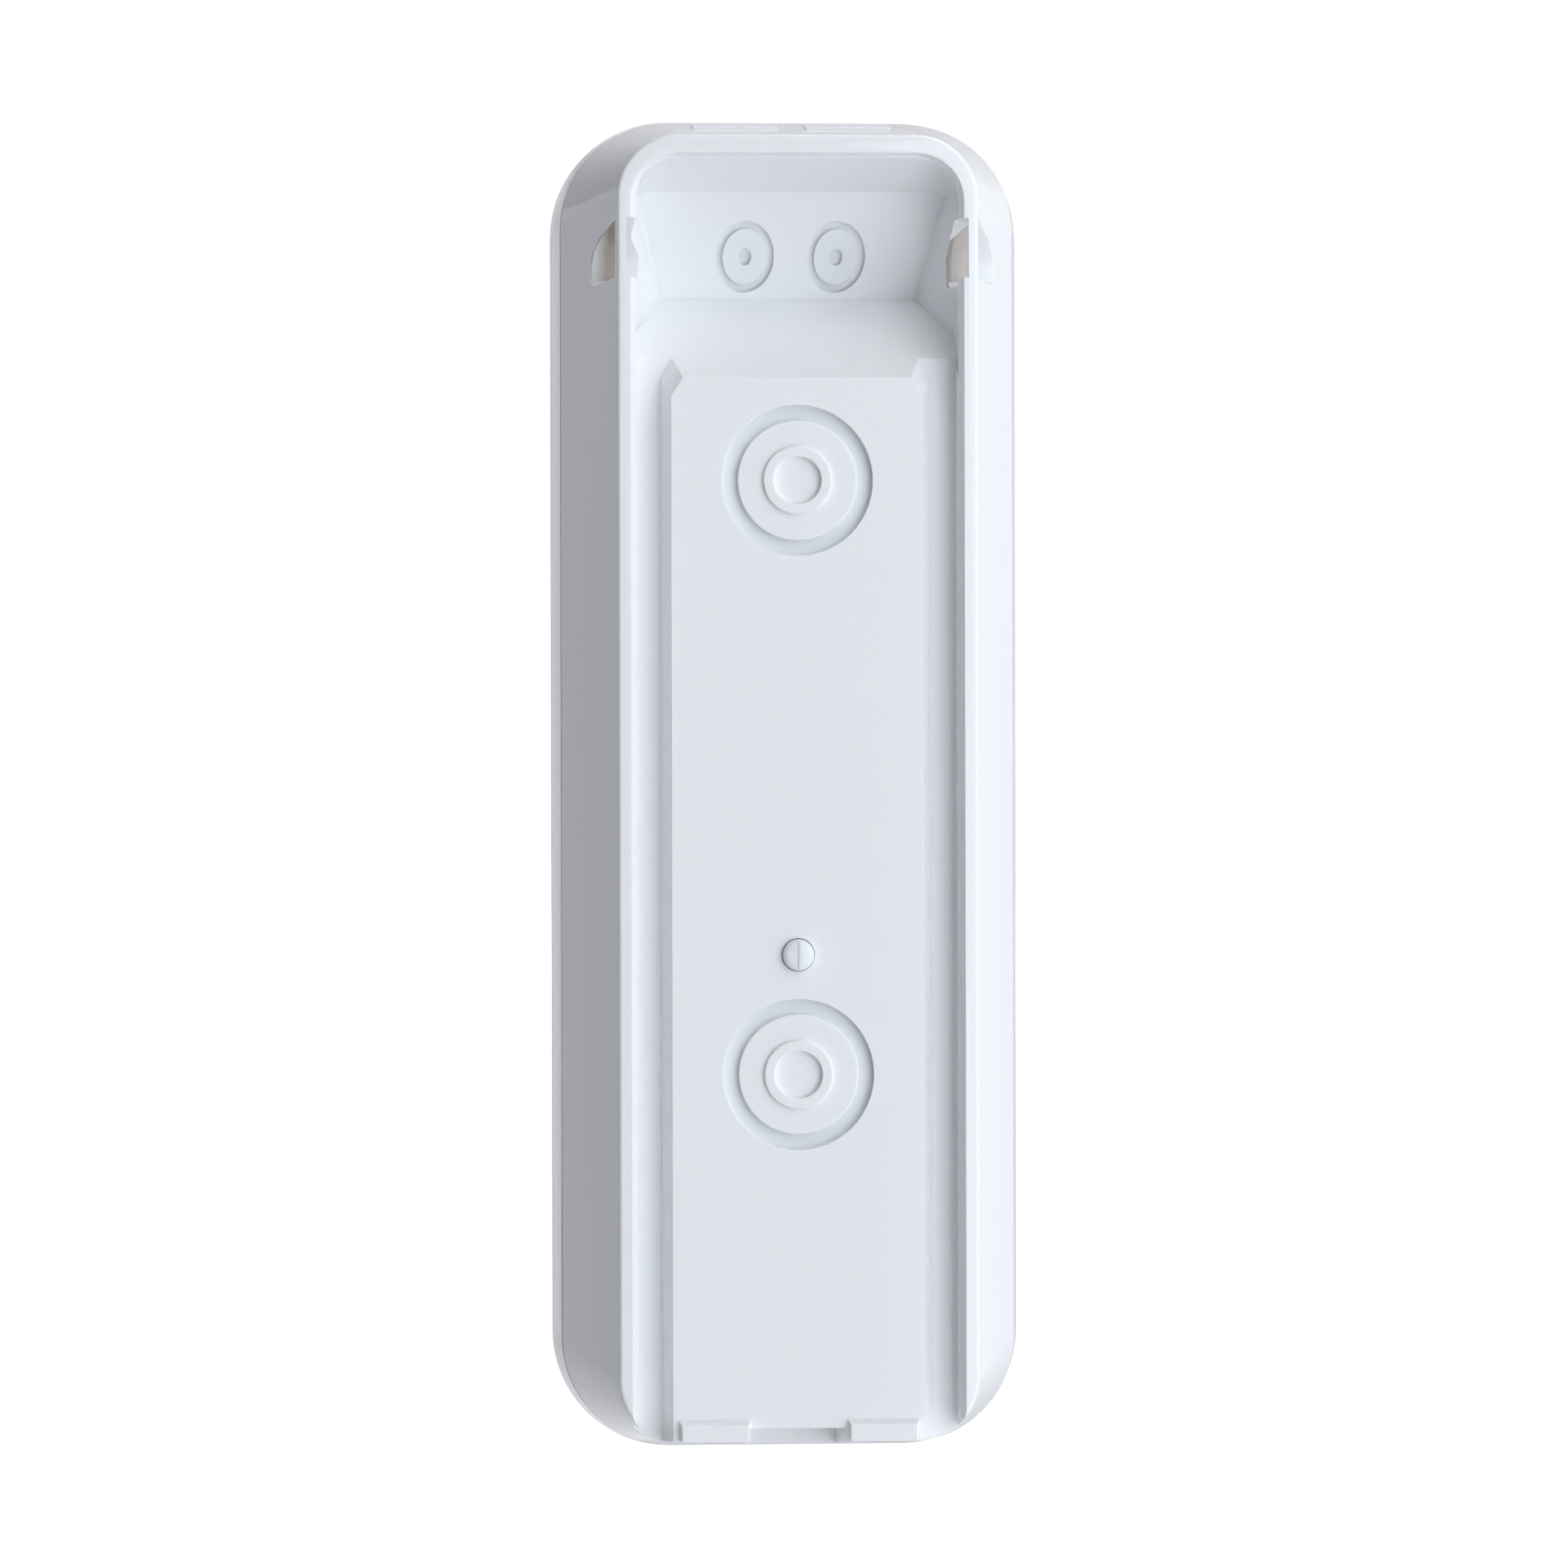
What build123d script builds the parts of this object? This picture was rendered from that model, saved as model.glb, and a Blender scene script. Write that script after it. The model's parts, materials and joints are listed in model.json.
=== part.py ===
from build123d import *
import os

# Video doorbell that slides onto a wall bracket.
# Origin: centre of the rear rim plane, which faces the wall. +Z is up, +X is to the right for
# someone facing the front, and the front faces -Y. Depths run forward from the rear rim plane,
# so a depth d lies at y = -d. All sizes are millimetres.

# ---- Overall form -------------------------------------------------------------------------
front_width = 50.0
front_height = 142.0
front_corner = 12.5
overall_depth = 27.0
front_edge_radius = 1.8
cover_depth = 8.4  # from the parting plane to the front face
cover_flare_side = 1.1
cover_flare_end = 1.3
side_taper = 5.8  # rear housing's half width lost from the parting plane to the rim
top_taper = 4.3
bottom_taper = 3.4
parting_corner = 11.2
rim_corner = 6.2
rim_edge_radius = 0.4
wall = 2.0
parting_gap = 0.25

parting_depth = overall_depth - cover_depth
widest_depth = overall_depth - front_edge_radius
parting_half = front_width / 2 - cover_flare_side
parting_top = front_height / 2 - cover_flare_end
parting_bottom = parting_top
rim_half = parting_half - side_taper
rim_top = parting_top - top_taper
rim_bottom = parting_bottom - bottom_taper
cover_start = parting_depth + parting_gap

# ---- Bracket channel, lips and platform -----------------------------------------------------
rim_width = 1.25
top_rim_width = 1.75
lip_overhang = 0.6
lip_bevel_depth = 1.0
lip_depth = 2.4
undercut = 0.4
mouth_corner = 4.8
platform_depth = 1.2
groove_depth = 4.6
groove_width = 2.9
platform_draft = 1.0  # half width gained from the platform's top to its foot
floor_wall = 1.8

mouth_half = rim_half - rim_width - lip_overhang
mouth_top = rim_top - top_rim_width
undercut_half = mouth_half + undercut
platform_foot_half = undercut_half - groove_width
platform_half = platform_foot_half - platform_draft
floor_depth = groove_depth + floor_wall  # inner face of the floor under the grooves
open_end = rim_bottom + 3 * mouth_corner  # channel tools run out past the bottom end

# ---- Contact pocket -------------------------------------------------------------------------
pocket_setback = 3.3  # crease behind the parting plane, where the contact wall meets the ramp
crease_below_top = 12.9  # crease below the pocket's top edge
contact_wall_slope = 1.257  # rise per depth
ramp_slope = 0.686
pocket_top_slope = 0.39
pocket_side_half = 13.3  # half width at the crease
pocket_side_slope = 0.425  # half width lost per depth
pocket_side_lean = 0.096  # half width lost per height
pocket_floor_corner = 0.7
corner_cut = 1.2  # the platform's cut upper corners
corner_cut_rise = 1.6

pocket_depth = parting_depth - pocket_setback
crease_height = mouth_top - crease_below_top
contact_wall_top = crease_height + contact_wall_slope * pocket_depth
ramp_foot = crease_height - ramp_slope * pocket_depth
platform_top = ramp_foot + ramp_slope * platform_depth
platform_foot_top = ramp_foot + ramp_slope * groove_depth

pad_spacing = 9.5
pad_rise = 4.05  # pads' centre above the crease
pad_width = 4.6
pad_length = 5.2
pad_moat = 0.75
pad_moat_depth = 0.8
pad_dimple_width = 1.35
pad_dimple_length = 1.6
pad_dimple_depth = 0.5
contact_pin_radius = 0.45
pad_height = crease_height + pad_rise

# ---- Side latch windows ---------------------------------------------------------------------
window_rise = 0.35  # window's foot above the crease
window_height = 6.0
window_near = 0.9
window_deep = 8.7
window_deep_drop = 2.8  # its top edge falls towards the deep end
window_knee_drop = 1.3
window_knee_depth = 6.2
window_corner = 1.2
window_rim = 0.8  # what is left of the rim beside a window
window_wall = 1.6
window_low = crease_height + window_rise
window_high = window_low + window_height

# ---- Pads on the top wall -------------------------------------------------------------------
top_pad_inner = 1.55
top_pad_outer = 10.15
top_pad_start = 9.5
top_pad_rise = 0.3  # above the wall at its start
top_pad_end_rise = 0.05  # above the wall at the parting plane

# ---- Bottom end: stop tabs and recess -------------------------------------------------------
tab_inner = 4.9
tab_outer = 12.15
tab_length = 1.95
tab_rise = 1.05
tab_draft = 0.3
recess_half = 5.3
recess_draft = 0.5
recess_height = 1.15
insert_radius = 2.1
insert_bore = 1.25
insert_length = 5.0
insert_depth = 9.0
insert_wall = 1.2

recess_ceiling = rim_bottom - recess_height
recess_depth = parting_depth - floor_wall

# ---- Screws, caps and plunger ---------------------------------------------------------------
upper_screw_drop = 10.38  # below the platform's top end
lower_screw_rise = 36.9  # above the bottom end
moat_radius = 7.65
moat_depth = 0.9
cap_radius = 6.05
cap_drop = 0.15  # cap's top below the platform
cap_ring_outer = 3.45
cap_ring_inner = 2.4
cap_ring_rise = 0.45
cap_centre_drop = 0.25
cap_spigot_length = 1.0
socket_radius = 4.4
socket_depth = 2.8
boss_wall = 1.4
boss_radius = 3.2
case_shank = 1.2
case_head = 2.2
case_head_height = 1.5
thread_clearance = 0.02
case_screw_gap = 2.1  # its tip behind the front wall
screw_upper = platform_top - upper_screw_drop
screw_lower = lower_screw_rise - rim_bottom

plunger_above_screw = 12.1
plunger_height = screw_lower + plunger_above_screw
plunger_radius = 1.6
plunger_clearance = 0.08
plunger_edge = 0.3
plunger_rise = 1.0
plunger_flange_radius = 2.6
plunger_flange = 0.8
plunger_travel = 0.8
guide_length = 2.0
guide_wall = 1.2
stop_gap = 0.1

tamper_switch_height = 3.5
tamper_switch_nub = 1.4
tamper_nub_height = 0.2
tamper_spring_radius = 2.2
tamper_spring_turns = 6

# ---- Boards ---------------------------------------------------------------------------------
board_thickness = 1.2
board_setback = 1.6  # main board's rear face behind the parting plane
board_edge = 1.35  # main board's edge inside the cover's skirt
board_top_drop = 11.75  # below the crease
board_bottom_gap = 2.35  # above the bottom recess's wall
board_top = crease_height - board_top_drop
board_bottom = recess_ceiling - floor_wall - board_bottom_gap
board_corner = 3.0
board_rear = parting_depth - board_setback
board_front = board_rear + board_thickness

skirt_clearance = 0.25
skirt_thickness = 1.2
skirt_length = 2.0
shoulder_length = 1.5
seal_width = 1.0
seal_depth = 0.8
seal_inset = 0.75
seal_clearance = 0.05
snap_length = 6.0
snap_rise = 0.5
snap_depth = 1.0
snap_setback = 0.7
snap_clearance = 0.15
snap_from_end = 29.0
snap_spread = front_height / 2 - snap_from_end

post_radius = 2.3
screw_shank = 0.85
screw_head = 1.6
screw_head_height = 1.0
screw_reach = 4.0
drive_radius = 0.6
drive_depth = 0.6
board_screw_side = 3.0  # in from the main board's long edges
board_screw_top = 8.0
board_screw_bottom = 3.0
case_post_radius = 2.8
hole_clearance = 0.3

# ---- Camera ---------------------------------------------------------------------------------
camera_drop = 23.0  # below the top of the front
camera_height = front_height / 2 - camera_drop
bezel_width = 33.0
bezel_height = 42.0
bezel_corner = 13.0
bezel_thickness = 1.2
bezel_drop = 4.0  # its centre below the lens
bezel_centre = camera_height - bezel_drop
bezel_clearance = 0.1
bezel_edge = 0.4
lens_opening = 6.2
lens_cover_thickness = 0.9
fit_clearance = 0.05
sensor_board_width = 29.0
sensor_board_height = 15.0
sensor_board_thickness = 0.8
sensor_gap = 0.4  # sensor board in front of the main board's front face
holder_size = 9.5
holder_height = 2.2
barrel_radius = 3.9
barrel_lip = 4.6
barrel_lip_length = 1.6
barrel_recess = 0.4  # barrel's front behind the lens cover
front_element = 2.6
front_element_depth = 0.5
flex_width = 8.0
flex_thickness = 0.2
flex_overlap = 3.0
led_radius = 1.5
led_spacing = 23.4
led_recess = 0.3
camera_screw_spacing = 15.6
camera_screw_rows = 10.6
camera_post_radius = 1.5
camera_shank = 0.6
camera_head = 1.1
camera_head_height = 0.7
camera_reach = 3.0

# ---- Button, ring and switches --------------------------------------------------------------
button_rise = 24.0  # above the bottom of the front
button_height = button_rise - front_height / 2
button_radius = 11.0
button_clearance = 0.2
button_proud = 0.2
button_dish = 0.5
button_dish_radius = 9.5
button_skirt = 2.6  # cap's front face to its flange
button_flange = 1.1
button_flange_thickness = 0.9
flange_clearance = 0.3
button_travel = 0.5
ring_width = 2.3
ring_flange = 1.2
ring_flange_length = 1.6
stem_radius = 2.0
switch_size = 6.0
switch_height = 3.2
switch_nub = 1.7
switch_nub_height = 0.3
spring_wire = 0.4
button_spring_radius = 5.2
button_spring_turns = 4
ring_led_count = 8
ring_led_size = 1.6
ring_led_height = 0.8

# ---- Motion sensor, speaker, microphone -----------------------------------------------------
motion_radius = 5.6
motion_flange = 0.8
motion_flange_thickness = 0.8
motion_dome = 1.2
motion_wall = 1.0
motion_proud = 0.2
motion_can = 4.1
motion_can_height = 4.2
motion_leg = 1.2
motion_leg_radius = 0.25
motion_leg_circle = 2.5
motion_leg_count = 3

speaker_radius = 8.5
speaker_thickness = 4.4
speaker_rim = 2.2
speaker_magnet = 5.5
speaker_clearance = 0.3
gasket_width = 1.3
gasket_thickness = 0.4
mesh_thickness = 0.2
speaker_wall = 1.0
speaker_wall_length = 4.0
grille_slots = 5
grille_pitch = 2.6
grille_slot_width = 1.3
grille_slot_length = 12.0

mic_above_screw = 4.5
mic_side = 8.0
mic_height = screw_lower + mic_above_screw
mic_width = 3.8
mic_length = 3.0
mic_thickness = 1.1
mic_boot_radius = 1.8
mic_hole = 0.6

# ---- Battery and small electronics ----------------------------------------------------------
battery_width = 30.0
battery_lower_gap = 4.2  # to the tamper switch below it
battery_edge = 1.8
battery_pad = 0.5
battery_pad_width = 3.0
battery_pad_inset = 2.0  # pad's outer edge inside the battery's side
battery_margin = 1.0  # to the screw boss above it
battery_board_gap = 2.4  # to the main board's rear face
lead_width = 5.0
lead_inset = 7.0  # lead's inner edge inside the battery's side
lead_thickness = 0.8
lead_reach = 2.0
lead_plug = 3.0
lead_plug_height = 1.8
shield_size = 19.0
shield_height = 1.9
shield_wall = 0.3
shield_rise = 13.0  # its centre above the board's bottom edge
shield_corner = 0.6
processor_size = 8.0
memory_size = 6.0
charger_size = 5.0
chip_spread = 7.5
chip_side = 8.0
chip_thickness = 1.0
antenna_length = 10.0
antenna_rise = 4.0
antenna_width = 1.2
antenna_thickness = 0.4
antenna_start = 6.0
antenna_pitch = 3.5
antenna_drop = 3.5  # below the board's top edge
strip_thickness = 0.4
strip_width = 2.0
strip_inset = 2.5  # strip's outer edge inside the cover's skirt line
strip_overlap = 3.0  # strip's foot on the main board
front_wall = 2.0
edge_land = 0.05

end_runout = 20.0  # cutters run this far past the body's ends
recess_runout = 12.0
window_runout = 10.0
room_corner = 2.0
front_inner = overall_depth - front_wall


def at_depth(depth):
    """Plane parallel to the rim at a depth: local x is X, local y is Z, extrusions run forward."""
    return Plane.XZ.offset(depth)


def outline(half, top, bottom, corner):
    """Rounded body outline, measured from the origin, for use inside a sketch."""
    with Locations((0, (top - bottom) / 2)):
        RectangleRounded(2 * half, top + bottom, corner)


def housing_outline(depth, inset=0.0):
    """Rear housing's outline at a depth, moved inwards by inset."""
    share = depth / parting_depth
    outline(
        rim_half + (parting_half - rim_half) * share - inset,
        rim_top + (parting_top - rim_top) * share - inset,
        rim_bottom + (parting_bottom - rim_bottom) * share - inset,
        max(rim_corner + (parting_corner - rim_corner) * share - inset, 0.5),
    )


def cover_outline(depth, inset=0.0):
    """Front cover's outline between the parting plane and its widest line."""
    share = (depth - parting_depth) / (widest_depth - parting_depth)
    outline(
        parting_half + cover_flare_side * share - inset,
        parting_top + cover_flare_end * share - inset,
        parting_bottom + cover_flare_end * share - inset,
        parting_corner + (front_corner - parting_corner) * share - inset,
    )


def cylinder(radius, start, end, centre=(0, 0), mode=Mode.ADD):
    """Round bar or hole along the depth, for use inside a part."""
    with BuildSketch(at_depth(start)) as profile:
        with Locations(centre):
            Circle(radius)
    extrude(profile.sketch, amount=end - start, mode=mode)


def ring(outer, inner, start, end, centre=(0, 0), mode=Mode.ADD):
    """Tube along the depth, for use inside a part."""
    with BuildSketch(at_depth(start)) as profile:
        with Locations(centre):
            Circle(outer)
            Circle(inner, mode=Mode.SUBTRACT)
    extrude(profile.sketch, amount=end - start, mode=mode)


def block(width, height, start, end, centre=(0, 0), corner=0.0, mode=Mode.ADD):
    """Rectangular or rounded block along the depth, for use inside a part."""
    with BuildSketch(at_depth(start)) as profile:
        with Locations(centre):
            if corner > 0:
                RectangleRounded(width, height, corner)
            else:
                Rectangle(width, height)
    extrude(profile.sketch, amount=end - start, mode=mode)


def housing_half(depth):
    """Rear housing's outer half width at a depth."""
    return rim_half + (parting_half - rim_half) * depth / parting_depth


def coil(radius, wire, turns, start, end, height):
    """Compression spring along the depth between two seats."""
    rise = end - start - wire
    with BuildPart() as spring:
        with BuildLine() as path:
            Helix(rise / turns, rise, radius, (0, -start - wire / 2, height), (0, -1, 0))
        with BuildSketch(Plane(origin=path.line @ 0, z_dir=path.line % 0)):
            Circle(wire / 2)
        sweep(is_frenet=True)
    return spring


def finish(builder, name):
    builder.part.label = name
    export_step(builder.part, f"parts/{name}.step")


os.makedirs("parts", exist_ok=True)

# ---- Forms that more than one feature uses --------------------------------------------------
with BuildPart() as housing_form:
    with BuildSketch(at_depth(0)):
        housing_outline(0)
    with BuildSketch(at_depth(parting_depth)):
        housing_outline(parting_depth)
    loft(ruled=True)


def pocket_hopper(grow):
    """Pocket's space, or its shell's outer form when grown by the shell's thickness."""
    deep = pocket_depth + floor_wall + grow
    hopper_foot = ramp_foot - pocket_setback - 2 * grow
    with BuildPart() as hopper:
        with BuildSketch(at_depth(0)):
            outline(mouth_half + grow, mouth_top + grow, -hopper_foot, mouth_corner + grow)
        with BuildSketch(at_depth(groove_depth)):
            outline(
                undercut_half + grow,
                mouth_top - pocket_top_slope * groove_depth + grow,
                -hopper_foot,
                mouth_corner / 2 + grow,
            )
        with BuildSketch(at_depth(deep)):
            outline(
                undercut_half + grow,
                mouth_top - pocket_top_slope * deep + grow,
                -hopper_foot,
                pocket_floor_corner + grow,
            )
        loft(ruled=True)
        with BuildSketch(Plane.YZ):
            Polygon(
                (0, contact_wall_top),
                (-pocket_depth, crease_height),
                (0, ramp_foot),
                align=None,
            )
            if grow > 0:
                offset(amount=grow, kind=Kind.INTERSECTION)
        extrude(amount=front_width, both=True, mode=Mode.INTERSECT)
        # Side walls that close in towards the crease
        for side in (1, -1):
            wall_plane = Plane(
                origin=(side * pocket_side_half, -pocket_depth, crease_height),
                z_dir=(side, -pocket_side_slope, pocket_side_lean),
            )
            with BuildSketch(wall_plane.offset(grow)):
                Rectangle(front_height, front_height)
            extrude(amount=front_width, mode=Mode.SUBTRACT)
    return hopper.part


def window_prism():
    """Side window's space across the whole width."""
    with BuildPart() as prism:
        with BuildSketch(Plane.YZ) as profile:
            Polygon(
                (-window_near, window_low),
                (-window_deep, window_low),
                (-window_deep, window_high - window_deep_drop),
                (-window_knee_depth, window_high - window_knee_drop),
                (-window_near, window_high),
                align=None,
            )
            fillet(profile.vertices().sort_by(Axis.X)[:3], window_corner)
        extrude(amount=front_width, both=True)
    return prism.part


pocket_space = pocket_hopper(0)
pocket_shell = pocket_hopper(floor_wall)


# ---- Rear housing ---------------------------------------------------------------------------
with BuildPart() as channel:
    # Mouth between the bevelled lips, open at the bottom end
    with BuildSketch(at_depth(0)):
        outline(mouth_half + lip_overhang, mouth_top, open_end, mouth_corner)
    with BuildSketch(at_depth(lip_bevel_depth)):
        outline(mouth_half, mouth_top, open_end, mouth_corner)
    loft(ruled=True)
    with BuildSketch(at_depth(lip_bevel_depth)):
        outline(mouth_half, window_low, open_end, mouth_corner)
    extrude(amount=lip_depth - lip_bevel_depth)
    # Undercut grooves
    with BuildSketch(at_depth(lip_depth)):
        outline(undercut_half, window_low, open_end, mouth_corner)
    extrude(amount=groove_depth - lip_depth)
    # The platform between the grooves, with its cut upper corners
    with BuildSketch(at_depth(platform_depth)):
        Polygon(
            (-platform_half, -open_end),
            (platform_half, -open_end),
            (platform_half, platform_top - corner_cut * corner_cut_rise),
            (platform_half - corner_cut, platform_top),
            (-platform_half + corner_cut, platform_top),
            (-platform_half, platform_top - corner_cut * corner_cut_rise),
            align=None,
        )
    with BuildSketch(at_depth(groove_depth)):
        Polygon(
            (-platform_foot_half, -open_end),
            (platform_foot_half, -open_end),
            (platform_foot_half, platform_foot_top - corner_cut * corner_cut_rise),
            (platform_foot_half - corner_cut, platform_foot_top),
            (-platform_foot_half + corner_cut, platform_foot_top),
            (-platform_foot_half, platform_foot_top - corner_cut * corner_cut_rise),
            align=None,
        )
    loft(ruled=True, mode=Mode.SUBTRACT)

with BuildPart() as recess:
    with BuildSketch(at_depth(0)):
        with Locations((0, -recess_ceiling)):
            Rectangle(2 * recess_half, end_runout, align=(Align.CENTER, Align.MAX))
    with BuildSketch(at_depth(recess_depth)):
        with Locations((0, -recess_ceiling)):
            inner_width = 2 * (recess_half - recess_draft)
            Rectangle(inner_width, end_runout, align=(Align.CENTER, Align.MAX))
    loft(ruled=True)

sides = (1, -1)
boss_positions = ((0, screw_upper), (0, screw_lower))
pad_positions = [(side * pad_spacing / 2, pad_height) for side in sides]
contact_wall_depth = (contact_wall_top - pad_height) / contact_wall_slope
socket_floor = platform_depth + moat_depth + socket_depth
guide_end = platform_depth + floor_wall + guide_length
boss_step = floor_depth - floor_wall / 2
snap_half = housing_half(parting_depth - skirt_length / 2) - wall
snap_end = parting_depth - snap_setback
snap_start = snap_end - snap_depth


def contact_slab(start, end):
    """Slab parallel to the contact wall, between two depths below its surface."""
    with BuildPart() as slab:
        with BuildSketch(Plane.YZ):
            Polygon(
                (-start, contact_wall_top),
                (-pocket_depth - start, crease_height),
                (-pocket_depth - end, crease_height),
                (-end, contact_wall_top),
                align=None,
            )
        extrude(amount=mouth_half, both=True)
    return slab.part


def oval_pair(grow, start, end):
    """Both contact ovals, grown all round, between two depths below the contact wall."""
    with BuildPart() as ovals:
        with BuildSketch(at_depth(0)):
            with Locations(*pad_positions):
                Ellipse(pad_width / 2 + grow, pad_length / 2 + grow)
        extrude(amount=parting_depth)
        add(contact_slab(start, end), mode=Mode.INTERSECT)
    return ovals.part


def stop_tab(side):
    """Drafted stop tab on the platform's bottom end, on one side."""
    middle = side * (tab_inner + tab_outer) / 2
    with BuildPart() as tab:
        for depth, grow in ((platform_depth, 0.0), (platform_depth - tab_rise, -tab_draft)):
            with BuildSketch(at_depth(depth)):
                with Locations((middle, -rim_bottom)):
                    Rectangle(
                        tab_outer - tab_inner + 2 * grow,
                        tab_length + grow,
                        align=(Align.CENTER, Align.MIN),
                    )
        loft(ruled=True)
    return tab.part


# ---- Rear housing ---------------------------------------------------------------------------
with BuildPart() as rear_housing:
    add(housing_form.part)
    # Hollow in front of the grooves and the platform
    with BuildSketch(at_depth(floor_depth)):
        housing_outline(floor_depth, wall)
    with BuildSketch(at_depth(parting_depth)):
        housing_outline(parting_depth, wall)
    loft(ruled=True, mode=Mode.SUBTRACT)
    room_top = platform_top - 2 * floor_wall
    room_bottom = recess_ceiling - floor_wall
    block(
        2 * (platform_half - floor_wall),
        room_top + room_bottom,
        platform_depth + floor_wall,
        floor_depth,
        centre=(0, (room_top - room_bottom) / 2),
        corner=room_corner,
        mode=Mode.SUBTRACT,
    )
    # Walls round the contact pocket, the bottom recess and the side windows
    add(pocket_shell)
    with BuildSketch(at_depth(0)):
        with Locations((0, floor_wall - recess_ceiling)):
            outer_width = 2 * (recess_half + floor_wall)
            Rectangle(outer_width, recess_runout, align=(Align.CENTER, Align.MAX))
    extrude(amount=parting_depth)
    for side in sides:
        with BuildSketch(Plane.YZ.offset(side * (mouth_half - window_wall))):
            with Locations((-window_deep / 2, (window_low + window_high) / 2)):
                Rectangle(
                    window_deep + 2 * window_wall,
                    window_high - window_low + 2 * window_wall,
                )
        extrude(amount=side * window_runout)
    add(housing_form.part, mode=Mode.INTERSECT)
    fillet(rear_housing.edges().group_by(Axis.Y)[-1], rim_edge_radius)
    # Screw bosses, the plunger's guide and the lock screw's boss
    for centre in boss_positions:
        cylinder(moat_radius + boss_wall, platform_depth + floor_wall, boss_step, centre)
        cylinder(socket_radius + boss_wall, boss_step, socket_floor + boss_wall, centre)
        cylinder(boss_radius, socket_floor + boss_wall, board_rear, centre)
    guide_radius = plunger_radius + plunger_clearance + guide_wall
    cylinder(guide_radius, platform_depth + floor_wall, guide_end, (0, plunger_height))
    with BuildSketch(Plane.XY.offset(-recess_ceiling)):
        with Locations((0, -insert_depth)):
            Circle(insert_radius + insert_wall)
    extrude(amount=insert_length + insert_wall)
    # Pads on the top wall
    pad_start_top = rim_top + (parting_top - rim_top) * top_pad_start / parting_depth
    for side in sides:
        with BuildSketch(Plane.YZ.offset(side * top_pad_inner)):
            Polygon(
                (-top_pad_start, pad_start_top - wall / 2),
                (-top_pad_start, pad_start_top + top_pad_rise),
                (-parting_depth, parting_top + top_pad_end_rise),
                (-parting_depth, parting_top - wall / 2),
                align=None,
            )
        extrude(amount=side * (top_pad_outer - top_pad_inner))
    # The channel, the pocket, the bottom recess and the side windows
    add(channel.part, mode=Mode.SUBTRACT)
    add(pocket_space, mode=Mode.SUBTRACT)
    add(recess.part, mode=Mode.SUBTRACT)
    add(window_prism(), mode=Mode.SUBTRACT)
    for side in sides:
        block(
            rim_half - window_rim,
            window_high - window_low,
            0,
            window_near,
            centre=(side * (rim_half - window_rim) / 2, (window_low + window_high) / 2),
            mode=Mode.SUBTRACT,
        )
        add(stop_tab(side))
    # Round moats, cap sockets, shank holes and the plunger's hole
    for centre in boss_positions:
        cylinder(moat_radius, platform_depth, platform_depth + moat_depth, centre, Mode.SUBTRACT)
        cylinder(socket_radius, platform_depth, socket_floor, centre, Mode.SUBTRACT)
        cylinder(case_shank + stop_gap, platform_depth, board_rear, centre, Mode.SUBTRACT)
    plunger_hole = plunger_radius + plunger_clearance
    cylinder(plunger_hole, platform_depth, guide_end, (0, plunger_height), Mode.SUBTRACT)
    # Moats round the contact pads, and their pin holes
    add(oval_pair(pad_moat, 0, pad_moat_depth), mode=Mode.SUBTRACT)
    for centre in pad_positions:
        cylinder(contact_pin_radius + thread_clearance, 0, parting_depth, centre, Mode.SUBTRACT)
    # Insert's hole in the recess ceiling
    with BuildSketch(Plane.XY.offset(-recess_ceiling)):
        with Locations((0, -insert_depth)):
            Circle(insert_radius + thread_clearance)
    extrude(amount=insert_length, mode=Mode.SUBTRACT)
    # Catches for the front cover's snaps
    for side in sides:
        for height in (-snap_spread, 0, snap_spread):
            block(
                2 * (snap_rise - skirt_clearance + snap_clearance),
                snap_length + 2 * snap_clearance,
                snap_start - snap_clearance,
                snap_end + snap_clearance,
                centre=(side * snap_half, height),
                mode=Mode.SUBTRACT,
            )
finish(rear_housing, "rear_housing")

# ---- Screw caps and case screws -------------------------------------------------------------
def screw_cap(name, height):
    """Press-in cap over a case screw, with a raised ring and a spigot in the socket."""
    top = platform_depth + cap_drop
    seat = platform_depth + moat_depth
    centre = (0, height)
    with BuildPart() as cap:
        cylinder(cap_radius, top, seat, centre)
        ring(cap_ring_outer, cap_ring_inner, top - cap_ring_rise, top, centre)
        cylinder(cap_ring_inner, top, top + cap_centre_drop, centre, Mode.SUBTRACT)
        cylinder(socket_radius - fit_clearance, seat, seat + cap_spigot_length, centre)
    finish(cap, name)


screw_cap("cap_upper", screw_upper)
screw_cap("cap_lower", screw_lower)


def screw(centre, seat, head, head_height, shank, length):
    """Pan-head screw driven forward from its seat, with a round drive recess."""
    cylinder(head, seat - head_height, seat, centre)
    cylinder(shank, seat, seat + length, centre)
    drive_top = seat - head_height
    cylinder(drive_radius, drive_top, drive_top + drive_depth, centre, Mode.SUBTRACT)


case_screw_length = front_inner - case_screw_gap - socket_floor
with BuildPart() as case_screws:
    for centre in boss_positions:
        screw(centre, socket_floor, case_head, case_head_height, case_shank, case_screw_length)
finish(case_screws, "case_screws")

# ---- Contacts -------------------------------------------------------------------------------
strip_front = board_rear
strip_rear = strip_front - strip_thickness
skirt_start = parting_depth - skirt_length
skirt_half = housing_half(skirt_start) - wall - skirt_clearance - skirt_thickness
strip_side = skirt_half - strip_inset + strip_width / 2


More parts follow.
